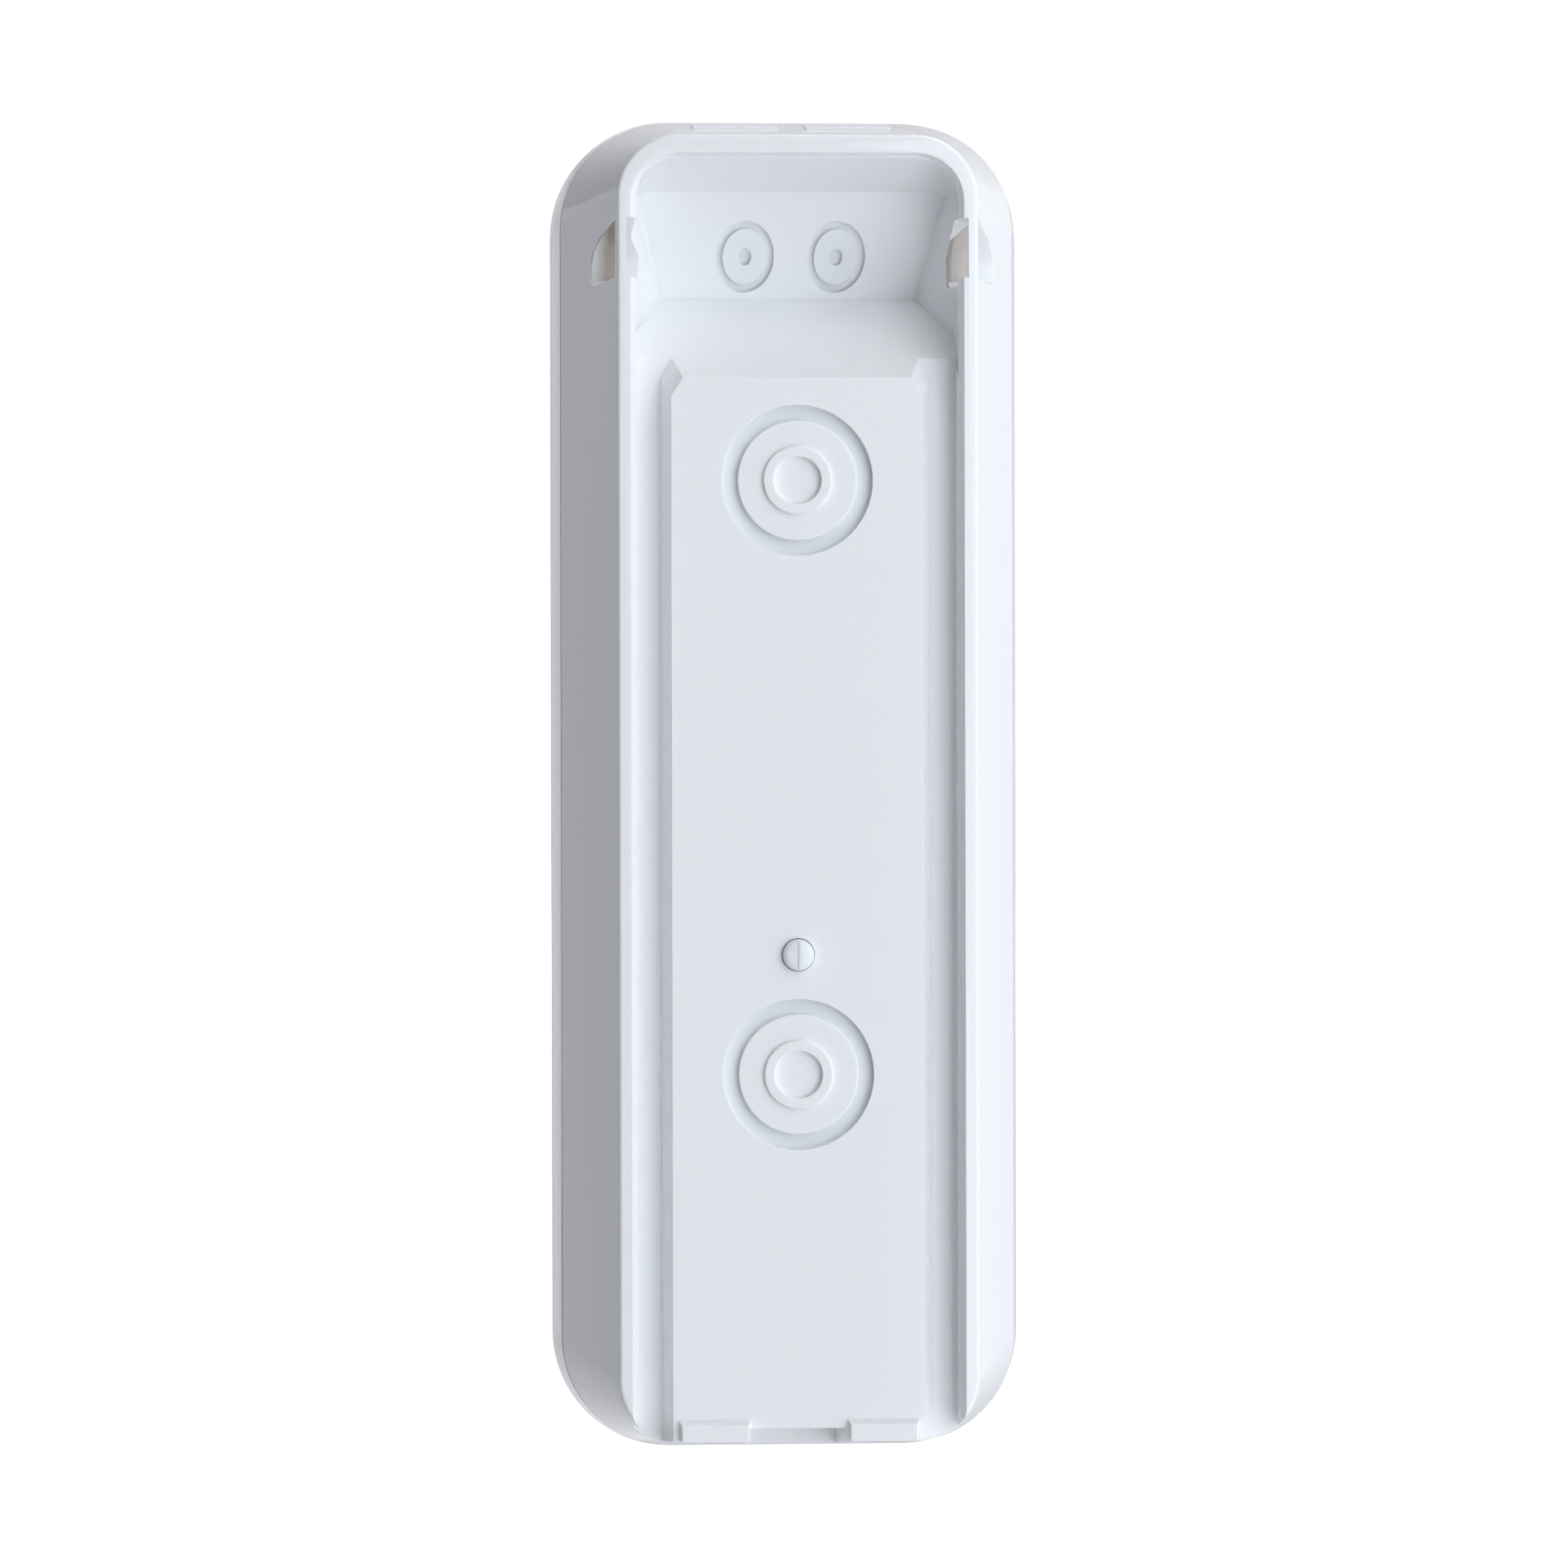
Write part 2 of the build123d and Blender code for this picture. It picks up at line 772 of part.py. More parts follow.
def contact(name, side):
    """Contact with an oval dimpled head flush in the sloped wall and a pin behind it."""
    centre = (side * pad_spacing / 2, pad_height)
    with BuildPart() as pad:
        cylinder(contact_pin_radius, contact_wall_depth + pad_dimple_depth, strip_rear, centre)
        with BuildSketch(at_depth(0)) as oval:
            with Locations(centre):
                Ellipse(pad_width / 2, pad_length / 2)
        head = extrude(oval.sketch, amount=parting_depth, mode=Mode.PRIVATE)
        add(head & contact_slab(0, pad_moat_depth))
        with BuildSketch(at_depth(0)) as dimple:
            with Locations(centre):
                Ellipse(pad_dimple_width / 2, pad_dimple_length / 2)
        hollow = extrude(dimple.sketch, amount=parting_depth, mode=Mode.PRIVATE)
        add(hollow & contact_slab(0, pad_dimple_depth), mode=Mode.SUBTRACT)
    finish(pad, name)


contact("contact_left", 1)
contact("contact_right", -1)

with BuildPart() as contact_strips:
    foot = board_top - strip_overlap
    for side in sides:
        inner = pad_spacing / 2 - strip_width / 2
        block(
            strip_side + strip_width / 2 - inner,
            strip_width,
            strip_rear,
            strip_front,
            centre=(side * (strip_side + strip_width / 2 + inner) / 2, pad_height),
        )
        block(
            strip_width,
            pad_height - foot,
            strip_rear,
            strip_front,
            centre=(side * strip_side, (pad_height + foot) / 2),
        )
finish(contact_strips, "contact_strips")

# ---- Tamper plunger, spring and switch ------------------------------------------------------
tamper_switch_rear = board_rear - tamper_switch_height
tamper_nub_rear = tamper_switch_rear - tamper_nub_height
flange_start = guide_end + stop_gap
flange_end = flange_start + plunger_flange
plunger_centre = (0, plunger_height)

with BuildPart() as tamper_plunger:
    plunger_end = tamper_nub_rear - stop_gap - plunger_travel
    cylinder(plunger_radius, platform_depth - plunger_rise, plunger_end, plunger_centre)
    fillet(tamper_plunger.edges().group_by(Axis.Y)[-1], plunger_edge)
    cylinder(plunger_flange_radius, flange_start, flange_end, plunger_centre)
finish(tamper_plunger, "tamper_plunger")

tamper_spring = coil(
    tamper_spring_radius,
    spring_wire,
    tamper_spring_turns,
    flange_end,
    tamper_switch_rear,
    plunger_height,
)
finish(tamper_spring, "tamper_spring")


def push_switch(name, size, seat, top, nub, nub_top, centre):
    """Square push switch on a board, with a round nub on top of it."""
    with BuildPart() as switch:
        block(size, size, seat, top, centre)
        cylinder(nub, top, nub_top, centre)
    finish(switch, name)


push_switch(
    "tamper_switch",
    switch_size,
    board_rear,
    tamper_switch_rear,
    tamper_switch_nub,
    tamper_nub_rear,
    plunger_centre,
)

# ---- Main board and what sits on it ---------------------------------------------------------
board_half = skirt_half - board_edge
board_screw_x = board_half - board_screw_side
board_screw_positions = [
    (side * board_screw_x, height)
    for side in sides
    for height in (board_top - board_screw_top, board_screw_bottom - board_bottom)
]

with BuildPart() as main_board:
    with BuildSketch(at_depth(board_rear)):
        outline(board_half, board_top, board_bottom, board_corner)
    extrude(amount=board_thickness)
    for centre in boss_positions:
        cylinder(case_shank + hole_clearance, board_rear, board_front, centre, Mode.SUBTRACT)
    for centre in board_screw_positions:
        cylinder(screw_shank + fit_clearance, board_rear, board_front, centre, Mode.SUBTRACT)
finish(main_board, "main_board")

with BuildPart() as board_screws:
    for centre in board_screw_positions:
        reach = board_thickness + screw_reach
        screw(centre, board_rear, screw_head, screw_head_height, screw_shank, reach)
finish(board_screws, "board_screws")

battery_top = screw_upper - socket_radius - boss_wall - battery_margin
battery_bottom = plunger_height + switch_size / 2 + battery_lower_gap
battery_length = battery_top - battery_bottom
battery_middle = (battery_top + battery_bottom) / 2

with BuildPart() as board_chips:
    for size, height in (
        (processor_size, battery_middle + chip_spread),
        (memory_size, battery_middle - chip_spread),
        (charger_size, screw_lower),
    ):
        block(size, size, board_rear - chip_thickness, board_rear, (-chip_side, height))
finish(board_chips, "board_chips")

with BuildPart() as shield_can:
    top = board_rear - shield_height
    centre = (0, shield_rise - board_bottom)
    block(shield_size, shield_size, top, board_rear, centre, shield_corner)
    inner = shield_size - 2 * shield_wall
    block(inner, inner, top + shield_wall, board_rear, centre, mode=Mode.SUBTRACT)
finish(shield_can, "shield_can")

with BuildPart() as wifi_antenna:
    rear = board_rear - antenna_rise
    middle = -antenna_start - antenna_length / 2
    bar_end = rear + antenna_thickness
    antenna_height = board_top - antenna_drop
    block(antenna_length, antenna_width, rear, bar_end, (middle, antenna_height))
    leg_x = middle + antenna_length / 2 - antenna_thickness / 2
    for step in (0, antenna_pitch):
        leg = (leg_x - step, antenna_height)
        block(antenna_thickness, antenna_width, rear, board_rear, leg)
finish(wifi_antenna, "wifi_antenna")

# ---- Battery --------------------------------------------------------------------------------
battery_rear = floor_depth + battery_pad
battery_front = board_rear - battery_board_gap
battery_centre = (0, battery_middle)

with BuildPart() as battery_pack:
    block(battery_width, battery_length, battery_rear, battery_front, battery_centre)
    fillet(battery_pack.edges().filter_by(Axis.Z), battery_edge)
finish(battery_pack, "battery_pack")

with BuildPart() as battery_pads:
    for side in sides:
        across = battery_width / 2 - battery_pad_inset - battery_pad_width / 2
        block(
            battery_pad_width,
            battery_length - 2 * battery_pad_width,
            floor_depth,
            battery_rear,
            (side * across, battery_centre[1]),
        )
finish(battery_pads, "battery_pads")

with BuildPart() as battery_lead:
    lead_top = battery_bottom
    lead_depth = (battery_rear + battery_front) / 2
    with BuildSketch(Plane.YZ.offset(battery_width / 2 - lead_inset)):
        Polygon(
            (-lead_depth, lead_top),
            (-lead_depth, lead_top - lead_reach),
            (-board_rear + lead_plug_height, lead_top - lead_reach),
            (-board_rear + lead_plug_height, lead_top - lead_plug),
            (-board_rear, lead_top - lead_plug),
            (-board_rear, lead_top),
            (-board_rear + lead_plug_height, lead_top),
            (-board_rear + lead_plug_height, lead_top - lead_reach + lead_thickness),
            (-lead_depth - lead_thickness, lead_top - lead_reach + lead_thickness),
            (-lead_depth - lead_thickness, lead_top),
            align=None,
        )
    extrude(amount=lead_width)
finish(battery_lead, "battery_lead")

# ---- Lock screw insert ----------------------------------------------------------------------
with BuildPart() as lock_insert:
    with BuildSketch(Plane.XY.offset(-recess_ceiling)):
        with Locations((0, -insert_depth)):
            Circle(insert_radius)
            Circle(insert_bore, mode=Mode.SUBTRACT)
    extrude(amount=insert_length)
finish(lock_insert, "lock_insert")

# ---- Front cover ----------------------------------------------------------------------------
shoulder_end = cover_start + shoulder_length
bezel_seat = overall_depth - bezel_thickness
sensor_rear = board_front + sensor_gap
sensor_front = sensor_rear + sensor_board_thickness
sensor_centre = (0, camera_height)
camera_centre = (0, camera_height)
button_centre = (0, button_height)
# The motion sensor and the speaker share the height between the bezel and the lower post
motion_outer = motion_radius + motion_flange
speaker_outer = speaker_radius + speaker_clearance + speaker_wall
span_top = bezel_centre - bezel_height / 2
span_bottom = screw_lower + case_post_radius
front_gap = (span_top - span_bottom - 2 * motion_outer - 2 * speaker_outer) / 3
motion_height = span_top - front_gap - motion_outer
speaker_height = span_bottom + front_gap + speaker_outer
motion_centre = (0, motion_height)
speaker_centre = (0, speaker_height)
mic_centre = (mic_side, mic_height)
ring_inner = button_radius + button_clearance
ring_outer = ring_inner + ring_width
led_positions = [(side * led_spacing / 2, camera_height) for side in sides]
camera_screw_positions = [
    (side * camera_screw_spacing / 2, camera_height + row * camera_screw_rows / 2)
    for side in sides
    for row in sides
]


def seal_loop(start, end, clearance):
    """Closed loop that follows the cover's rim, between two depths."""
    with BuildSketch(at_depth(start)) as loop:
        cover_outline(cover_start, seal_inset + clearance)
        with BuildSketch(Plane.XY, mode=Mode.PRIVATE) as inside:
            cover_outline(cover_start, seal_inset + seal_width - clearance)
        add(inside.sketch, mode=Mode.SUBTRACT)
    return loop.sketch, end - start


with BuildPart() as front_cover:
    with BuildSketch(at_depth(cover_start)):
        cover_outline(cover_start)
    with BuildSketch(at_depth(widest_depth)):
        cover_outline(widest_depth)
    loft(ruled=True)
    with BuildSketch(at_depth(widest_depth)):
        cover_outline(widest_depth)
    extrude(amount=front_edge_radius)
    fillet(front_cover.edges().group_by(Axis.Y)[0], front_edge_radius - edge_land)
    # Skirt inside the rear housing, then the hollow behind the front wall
    with BuildSketch(at_depth(skirt_start)):
        housing_outline(skirt_start, wall + skirt_clearance)
    with BuildSketch(at_depth(shoulder_end)):
        housing_outline(shoulder_end, wall + skirt_clearance)
    loft(ruled=True)
    skirt_inset = wall + skirt_clearance + skirt_thickness
    with BuildSketch(at_depth(skirt_start)):
        housing_outline(skirt_start, skirt_inset)
    with BuildSketch(at_depth(shoulder_end)):
        housing_outline(shoulder_end, skirt_inset)
    loft(ruled=True, mode=Mode.SUBTRACT)
    with BuildSketch(at_depth(shoulder_end)):
        cover_outline(shoulder_end, front_wall)
    with BuildSketch(at_depth(front_inner)):
        cover_outline(front_inner, front_wall)
    loft(ruled=True, mode=Mode.SUBTRACT)
    recess_gap = recess_half + floor_wall + hole_clearance
    block(
        2 * recess_gap,
        2 * recess_gap,
        skirt_start,
        cover_start,
        (0, floor_wall + hole_clearance - recess_ceiling - recess_gap),
        mode=Mode.SUBTRACT,
    )
    # Snaps on the skirt and the seal's groove
    for side in sides:
        for height in (-snap_spread, 0, snap_spread):
            block(
                snap_rise + skirt_thickness / 2,
                snap_length,
                snap_start,
                snap_end,
                (side * (snap_half - skirt_clearance + (snap_rise - skirt_thickness / 2) / 2), height),
            )
    groove, groove_reach = seal_loop(cover_start, cover_start + seal_depth, 0)
    extrude(groove, amount=groove_reach, mode=Mode.SUBTRACT)
    # Posts for the main board, the case screws and the sensor board
    for centre in board_screw_positions:
        cylinder(post_radius, board_front, front_inner, centre)
        bore = screw_shank + thread_clearance
        cylinder(bore, board_front, board_front + screw_reach, centre, Mode.SUBTRACT)
    for centre in boss_positions:
        post_start = board_front + skirt_clearance
        cylinder(case_post_radius, post_start, front_inner, centre)
        bore = case_shank + thread_clearance
        bore_end = socket_floor + case_screw_length
        cylinder(bore, post_start, bore_end, centre, Mode.SUBTRACT)
    for centre in camera_screw_positions:
        cylinder(camera_post_radius, sensor_front, front_inner, centre)
        bore = camera_shank + thread_clearance
        cylinder(bore, sensor_front, sensor_front + camera_reach, centre, Mode.SUBTRACT)
    # Wall round the speaker
    wall_inner = speaker_radius + speaker_clearance
    wall_start = front_inner - speaker_wall_length
    ring(wall_inner + speaker_wall, wall_inner, wall_start, front_inner, speaker_centre)
    # Recess for the camera bezel, and every opening in the front wall
    block(
        bezel_width + 2 * bezel_clearance,
        bezel_height + 2 * bezel_clearance,
        bezel_seat,
        overall_depth,
        (0, bezel_centre),
        bezel_corner + bezel_clearance,
        Mode.SUBTRACT,
    )
    cylinder(barrel_lip + hole_clearance, front_inner, bezel_seat, camera_centre, Mode.SUBTRACT)
    for centre in led_positions:
        cylinder(led_radius + hole_clearance, front_inner, bezel_seat, centre, Mode.SUBTRACT)
    for radius, centre in (
        (motion_radius + fit_clearance, motion_centre),
        (ring_outer + fit_clearance, button_centre),
        (mic_hole, mic_centre),
    ):
        cylinder(radius, front_inner, overall_depth, centre, Mode.SUBTRACT)
    with BuildSketch(at_depth(front_inner)):
        with Locations(speaker_centre):
            with GridLocations(0, grille_pitch, 1, grille_slots):
                SlotOverall(grille_slot_length, grille_slot_width)
    extrude(amount=front_wall, mode=Mode.SUBTRACT)
finish(front_cover, "front_cover")

with BuildPart() as housing_seal:
    loop, reach = seal_loop(parting_depth, cover_start + seal_depth, seal_clearance)
    extrude(loop, amount=reach)
finish(housing_seal, "housing_seal")

# ---- Camera ---------------------------------------------------------------------------------
with BuildPart() as camera_bezel:
    block(
        bezel_width,
        bezel_height,
        bezel_seat,
        overall_depth,
        (0, bezel_centre),
        bezel_corner,
    )
    fillet(camera_bezel.edges().group_by(Axis.Y)[0], bezel_edge)
    cylinder(lens_opening, bezel_seat, overall_depth, camera_centre, Mode.SUBTRACT)
finish(camera_bezel, "camera_bezel")

with BuildPart() as lens_cover:
    cover_front = bezel_seat + lens_cover_thickness
    cylinder(lens_opening - fit_clearance, bezel_seat, cover_front, camera_centre)
finish(lens_cover, "lens_cover")

with BuildPart() as sensor_board:
    block(sensor_board_width, sensor_board_height, sensor_rear, sensor_front, sensor_centre)
    for centre in camera_screw_positions:
        cylinder(camera_shank + fit_clearance, sensor_rear, sensor_front, centre, Mode.SUBTRACT)
finish(sensor_board, "sensor_board")

with BuildPart() as camera_screws:
    for centre in camera_screw_positions:
        reach = sensor_board_thickness + camera_reach
        screw(centre, sensor_rear, camera_head, camera_head_height, camera_shank, reach)
finish(camera_screws, "camera_screws")

holder_front = sensor_front + holder_height
with BuildPart() as lens_holder:
    block(holder_size, holder_size, sensor_front, holder_front, camera_centre)
    fillet(lens_holder.edges().filter_by(Axis.Y), spring_wire)
finish(lens_holder, "lens_holder")

with BuildPart() as lens_barrel:
    barrel_front = bezel_seat - barrel_recess
    lip_start = barrel_front - barrel_lip_length
    cylinder(barrel_radius, holder_front, lip_start, camera_centre)
    cylinder(barrel_lip, lip_start, barrel_front, camera_centre)
    glass_rear = barrel_front - front_element_depth
    cylinder(front_element, glass_rear, barrel_front, camera_centre, Mode.SUBTRACT)
finish(lens_barrel, "lens_barrel")

with BuildPart() as camera_flex:
    sensor_bottom = camera_height - sensor_board_height / 2
    with BuildSketch(Plane.YZ):
        Polygon(
            (-board_front, board_top - flex_overlap),
            (-board_front, board_top),
            (-sensor_rear + flex_thickness, sensor_bottom),
            (-sensor_rear + flex_thickness, sensor_bottom + flex_overlap),
            (-sensor_rear, sensor_bottom + flex_overlap),
            (-sensor_rear, sensor_bottom),
            (-board_front - flex_thickness, board_top),
            (-board_front - flex_thickness, board_top - flex_overlap),
            align=None,
        )
    extrude(amount=flex_width / 2, both=True)
finish(camera_flex, "camera_flex")

with BuildPart() as infrared_leds:
    for centre in led_positions:
        cylinder(led_radius, sensor_front, bezel_seat - led_recess, centre)
finish(infrared_leds, "infrared_leds")

# ---- Motion sensor --------------------------------------------------------------------------
with BuildPart() as motion_lens:
    dome_front = overall_depth + motion_proud
    dome_sphere = (motion_radius**2 + motion_dome**2) / (2 * motion_dome)
    lens_rear = front_inner - motion_flange_thickness
    hollow_end = dome_front - motion_dome
    hollow_top = motion_height + motion_radius - motion_wall
    flange_top = motion_height + motion_outer
    with BuildSketch(Plane.YZ):
        with BuildLine():
            RadiusArc(
                (-dome_front, motion_height),
                (-hollow_end, motion_height + motion_radius),
                dome_sphere,
            )
            Polyline(
                (-hollow_end, motion_height + motion_radius),
                (-front_inner, motion_height + motion_radius),
                (-front_inner, flange_top),
                (-lens_rear, flange_top),
                (-lens_rear, hollow_top),
                (-hollow_end, hollow_top),
                (-hollow_end, motion_height),
                (-dome_front, motion_height),
            )
        make_face()
    revolve(axis=Axis((0, 0, motion_height), (0, 1, 0)))
finish(motion_lens, "motion_lens")

with BuildPart() as motion_sensor:
    can_rear = board_front + motion_leg
    cylinder(motion_can, can_rear, can_rear + motion_can_height, motion_centre)
    with BuildSketch(at_depth(board_front)):
        with Locations(motion_centre):
            with PolarLocations(motion_leg_circle, motion_leg_count):
                Circle(motion_leg_radius)
    extrude(amount=motion_leg)
finish(motion_sensor, "motion_sensor")

# ---- Speaker and microphone -----------------------------------------------------------------
mesh_rear = front_inner - mesh_thickness
gasket_rear = mesh_rear - gasket_thickness
speaker_rear = gasket_rear - speaker_thickness

with BuildPart() as speaker:
    rim_rear = gasket_rear - speaker_rim
    cylinder(speaker_magnet, speaker_rear, rim_rear, speaker_centre)
    cylinder(speaker_radius, rim_rear, gasket_rear, speaker_centre)
finish(speaker, "speaker")

with BuildPart() as speaker_gasket:
    gasket_inner = speaker_radius - gasket_width
    ring(speaker_radius, gasket_inner, gasket_rear, mesh_rear, speaker_centre)
finish(speaker_gasket, "speaker_gasket")

with BuildPart() as speaker_mesh:
    cylinder(speaker_radius, mesh_rear, front_inner, speaker_centre)
finish(speaker_mesh, "speaker_mesh")

mic_front = board_front + mic_thickness
with BuildPart() as microphone:
    block(mic_width, mic_length, board_front, mic_front, mic_centre)
finish(microphone, "microphone")

with BuildPart() as microphone_boot:
    ring(mic_boot_radius, mic_hole, mic_front, front_inner, mic_centre)
finish(microphone_boot, "microphone_boot")

# ---- Button ---------------------------------------------------------------------------------
button_front = overall_depth + button_proud
flange_front = button_front - button_skirt
flange_rear = flange_front - button_flange_thickness
flange_radius = button_radius + button_flange
switch_front = board_front + switch_height
nub_front = switch_front + switch_nub_height

with BuildPart() as button_cap:
    cylinder(button_radius, flange_front, button_front, button_centre)
    fillet(button_cap.edges().group_by(Axis.Y)[0], bezel_edge)
    cylinder(flange_radius, flange_rear, flange_front, button_centre)
    stem_end = nub_front + stop_gap + button_travel
    cylinder(stem_radius, stem_end, flange_rear, button_centre)
    dish_sphere = (button_dish_radius**2 + button_dish**2) / (2 * button_dish)
    with Locations((0, button_dish - button_front - dish_sphere, button_height)):
        Sphere(dish_sphere, mode=Mode.SUBTRACT)
finish(button_cap, "button_cap")

with BuildPart() as light_ring:
    shelf = flange_front + stop_gap
    ring_rear = front_inner - ring_flange_length
    cylinder(ring_outer, ring_rear, overall_depth, button_centre)
    cylinder(ring_outer + ring_flange, ring_rear, front_inner, button_centre)
    cylinder(ring_inner, shelf, overall_depth, button_centre, Mode.SUBTRACT)
    cylinder(flange_radius + flange_clearance, ring_rear, shelf, button_centre, Mode.SUBTRACT)
finish(light_ring, "light_ring")

push_switch(
    "button_switch",
    switch_size,
    board_front,
    switch_front,
    switch_nub,
    nub_front,
    button_centre,
)

button_spring = coil(
    button_spring_radius,
    spring_wire,
    button_spring_turns,
    board_front,
    flange_rear,
    button_height,
)
finish(button_spring, "button_spring")

with BuildPart() as ring_leds:
    with BuildSketch(at_depth(board_front)):
        with Locations(button_centre):
            with PolarLocations(ring_outer, ring_led_count):
                Rectangle(ring_led_size, ring_led_size)
    extrude(amount=ring_led_height)
finish(ring_leds, "ring_leds")
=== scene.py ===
import json
import math
from contextlib import contextmanager

import bpy
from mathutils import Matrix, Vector

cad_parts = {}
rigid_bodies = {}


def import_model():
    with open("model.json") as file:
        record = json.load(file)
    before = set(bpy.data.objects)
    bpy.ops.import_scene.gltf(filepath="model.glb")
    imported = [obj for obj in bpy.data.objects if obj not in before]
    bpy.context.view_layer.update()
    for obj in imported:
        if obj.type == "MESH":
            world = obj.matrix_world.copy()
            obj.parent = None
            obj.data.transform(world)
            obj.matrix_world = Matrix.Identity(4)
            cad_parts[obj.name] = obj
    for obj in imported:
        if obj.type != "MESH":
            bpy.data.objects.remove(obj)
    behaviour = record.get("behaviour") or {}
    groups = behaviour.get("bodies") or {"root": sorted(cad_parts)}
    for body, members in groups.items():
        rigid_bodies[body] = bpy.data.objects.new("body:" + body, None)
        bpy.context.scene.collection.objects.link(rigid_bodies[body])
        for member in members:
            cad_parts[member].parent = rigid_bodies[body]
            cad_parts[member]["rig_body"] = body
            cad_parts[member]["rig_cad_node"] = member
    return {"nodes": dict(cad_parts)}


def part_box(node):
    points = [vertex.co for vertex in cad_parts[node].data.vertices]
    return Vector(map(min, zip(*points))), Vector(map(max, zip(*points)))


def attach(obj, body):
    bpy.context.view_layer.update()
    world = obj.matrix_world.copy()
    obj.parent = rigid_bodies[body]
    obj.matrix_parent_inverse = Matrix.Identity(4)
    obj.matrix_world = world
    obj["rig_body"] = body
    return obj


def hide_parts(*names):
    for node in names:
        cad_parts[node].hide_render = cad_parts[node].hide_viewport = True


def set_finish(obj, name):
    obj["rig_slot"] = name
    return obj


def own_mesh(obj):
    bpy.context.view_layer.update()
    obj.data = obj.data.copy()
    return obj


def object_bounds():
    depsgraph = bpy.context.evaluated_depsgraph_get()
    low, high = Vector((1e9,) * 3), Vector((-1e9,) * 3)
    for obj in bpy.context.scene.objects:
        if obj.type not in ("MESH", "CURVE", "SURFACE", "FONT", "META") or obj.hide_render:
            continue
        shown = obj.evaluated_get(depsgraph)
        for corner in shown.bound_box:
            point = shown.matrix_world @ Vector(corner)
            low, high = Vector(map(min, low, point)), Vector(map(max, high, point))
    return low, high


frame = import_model()

bl_info = {
    "name": "Video Doorbell Dressing",
    "version": (1, 0, 0),
    "blender": (4, 5, 0),
    "location": "View3D > Sidebar > Doorbell",
    "description": "Finishes, turned details and a studio stage for a video doorbell",
    "category": "Object",
}

MM = 0.001
REAR = 1  # faces the wall, +Y
FRONT = -1  # faces the visitor, -Y
INWARDS = {REAR: (0, -1, 0), FRONT: (0, 1, 0)}  # from each face into the doorbell
CAD_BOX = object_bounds()
NODES = frame["nodes"]


# ---- Sizes and colours a user would change ---------------------------------------------------
class DoorbellPlastics(bpy.types.PropertyGroup):
    """Colours, gloss and edges of the moulded plastics."""

    housing_white: bpy.props.FloatVectorProperty(
        name="Housing White", description="Colour of the rear housing, cover, caps and button",
        subtype="COLOR", default=(0.93, 0.938, 0.95), min=0.0, max=1.0)
    flow_shade: bpy.props.FloatVectorProperty(
        name="Flow Shade", description="Second tone along the mould's flow marks",
        subtype="COLOR", default=(0.92, 0.93, 0.945), min=0.0, max=1.0)
    panel_black: bpy.props.FloatVectorProperty(
        name="Panel Black", description="Colour of the gloss panel round the camera",
        subtype="COLOR", default=(0.012, 0.012, 0.014), min=0.0, max=1.0)
    gloss: bpy.props.FloatProperty(
        name="Gloss Roughness", description="Roughness of the polished white surfaces",
        default=0.09, min=0.0, max=1.0, subtype="FACTOR")
    shell_edge: bpy.props.FloatProperty(
        name="Shell Edge", description="Rounding of the two shells' moulded edges",
        default=0.16 * MM, min=0.0, max=MM, unit="LENGTH")
    small_edge: bpy.props.FloatProperty(
        name="Small Edge", description="Rounding of the small parts' edges",
        default=0.09 * MM, min=0.0, max=MM, unit="LENGTH")


class DoorbellElectronics(bpy.types.PropertyGroup):
    """Colours of what sits inside."""

    board_green: bpy.props.FloatVectorProperty(
        name="Solder Mask", description="Colour of the boards' solder mask",
        subtype="COLOR", default=(0.012, 0.105, 0.052), min=0.0, max=1.0)
    battery_blue: bpy.props.FloatVectorProperty(
        name="Battery Wrap", description="Colour of the cell's film wrap",
        subtype="COLOR", default=(0.035, 0.09, 0.24), min=0.0, max=1.0)
    small_part_count: bpy.props.IntProperty(
        name="Small Parts", description="Surface-mount parts in each row on the main board",
        default=6, min=0, max=12)


class DoorbellStage(bpy.types.PropertyGroup):
    """Camera, floor and lights."""

    camera_distance: bpy.props.FloatProperty(
        name="Camera Distance", description="From the camera to the rear rim plane",
        default=0.378, min=0.1, max=5.0, unit="LENGTH")
    camera_side: bpy.props.FloatProperty(
        name="Camera Side", description="How far the camera stands to the side of the middle plane",
        default=0.02424, min=-1.0, max=1.0, unit="LENGTH")
    camera_turn: bpy.props.FloatProperty(
        name="Camera Turn", description="Turn of the camera towards the doorbell",
        default=math.radians(2.25), subtype="ANGLE")
    camera_roll: bpy.props.FloatProperty(
        name="Camera Roll", description="Roll of the camera round its own axis",
        default=math.radians(0.12), subtype="ANGLE")
    camera_shift: bpy.props.FloatProperty(
        name="Camera Shift", description="Sideways lens shift, as a share of the frame",
        default=0.0499, min=-0.2, max=0.2)
    camera_lens: bpy.props.FloatProperty(
        name="Lens", description="Focal length on a 36 mm sensor",
        default=86.25, min=20.0, max=300.0, subtype="DISTANCE_CAMERA")
    window_power: bpy.props.FloatProperty(
        name="Window Light", description="Power of the large soft light beside the rear",
        default=8.39, min=0.0, max=200.0, unit="POWER")
    sky_power: bpy.props.FloatProperty(
        name="Sky Light", description="Power of the soft light above the rear",
        default=3.81, min=0.0, max=200.0, unit="POWER")
    front_power: bpy.props.FloatProperty(
        name="Front Light", description="Power of the soft light above the front",
        default=16.0, min=0.0, max=200.0, unit="POWER")


# ---- Modelling helpers -----------------------------------------------------------------------
SHARP = math.radians(25.0)  # an edge past this angle is rounded
SHADE_BREAK = 42.0  # degrees; shading breaks past this angle on rounded pieces
FLAT = math.radians(0.5)  # faces within this angle become one
NODE_WELD = 0.002 * MM
TURNED_WELD = 0.001 * MM


def lone(piece):
    """Makes one object the only one selected, and active."""
    bpy.ops.object.select_all(action="DESELECT")
    piece.select_set(True)
    bpy.context.view_layer.objects.active = piece
    return piece


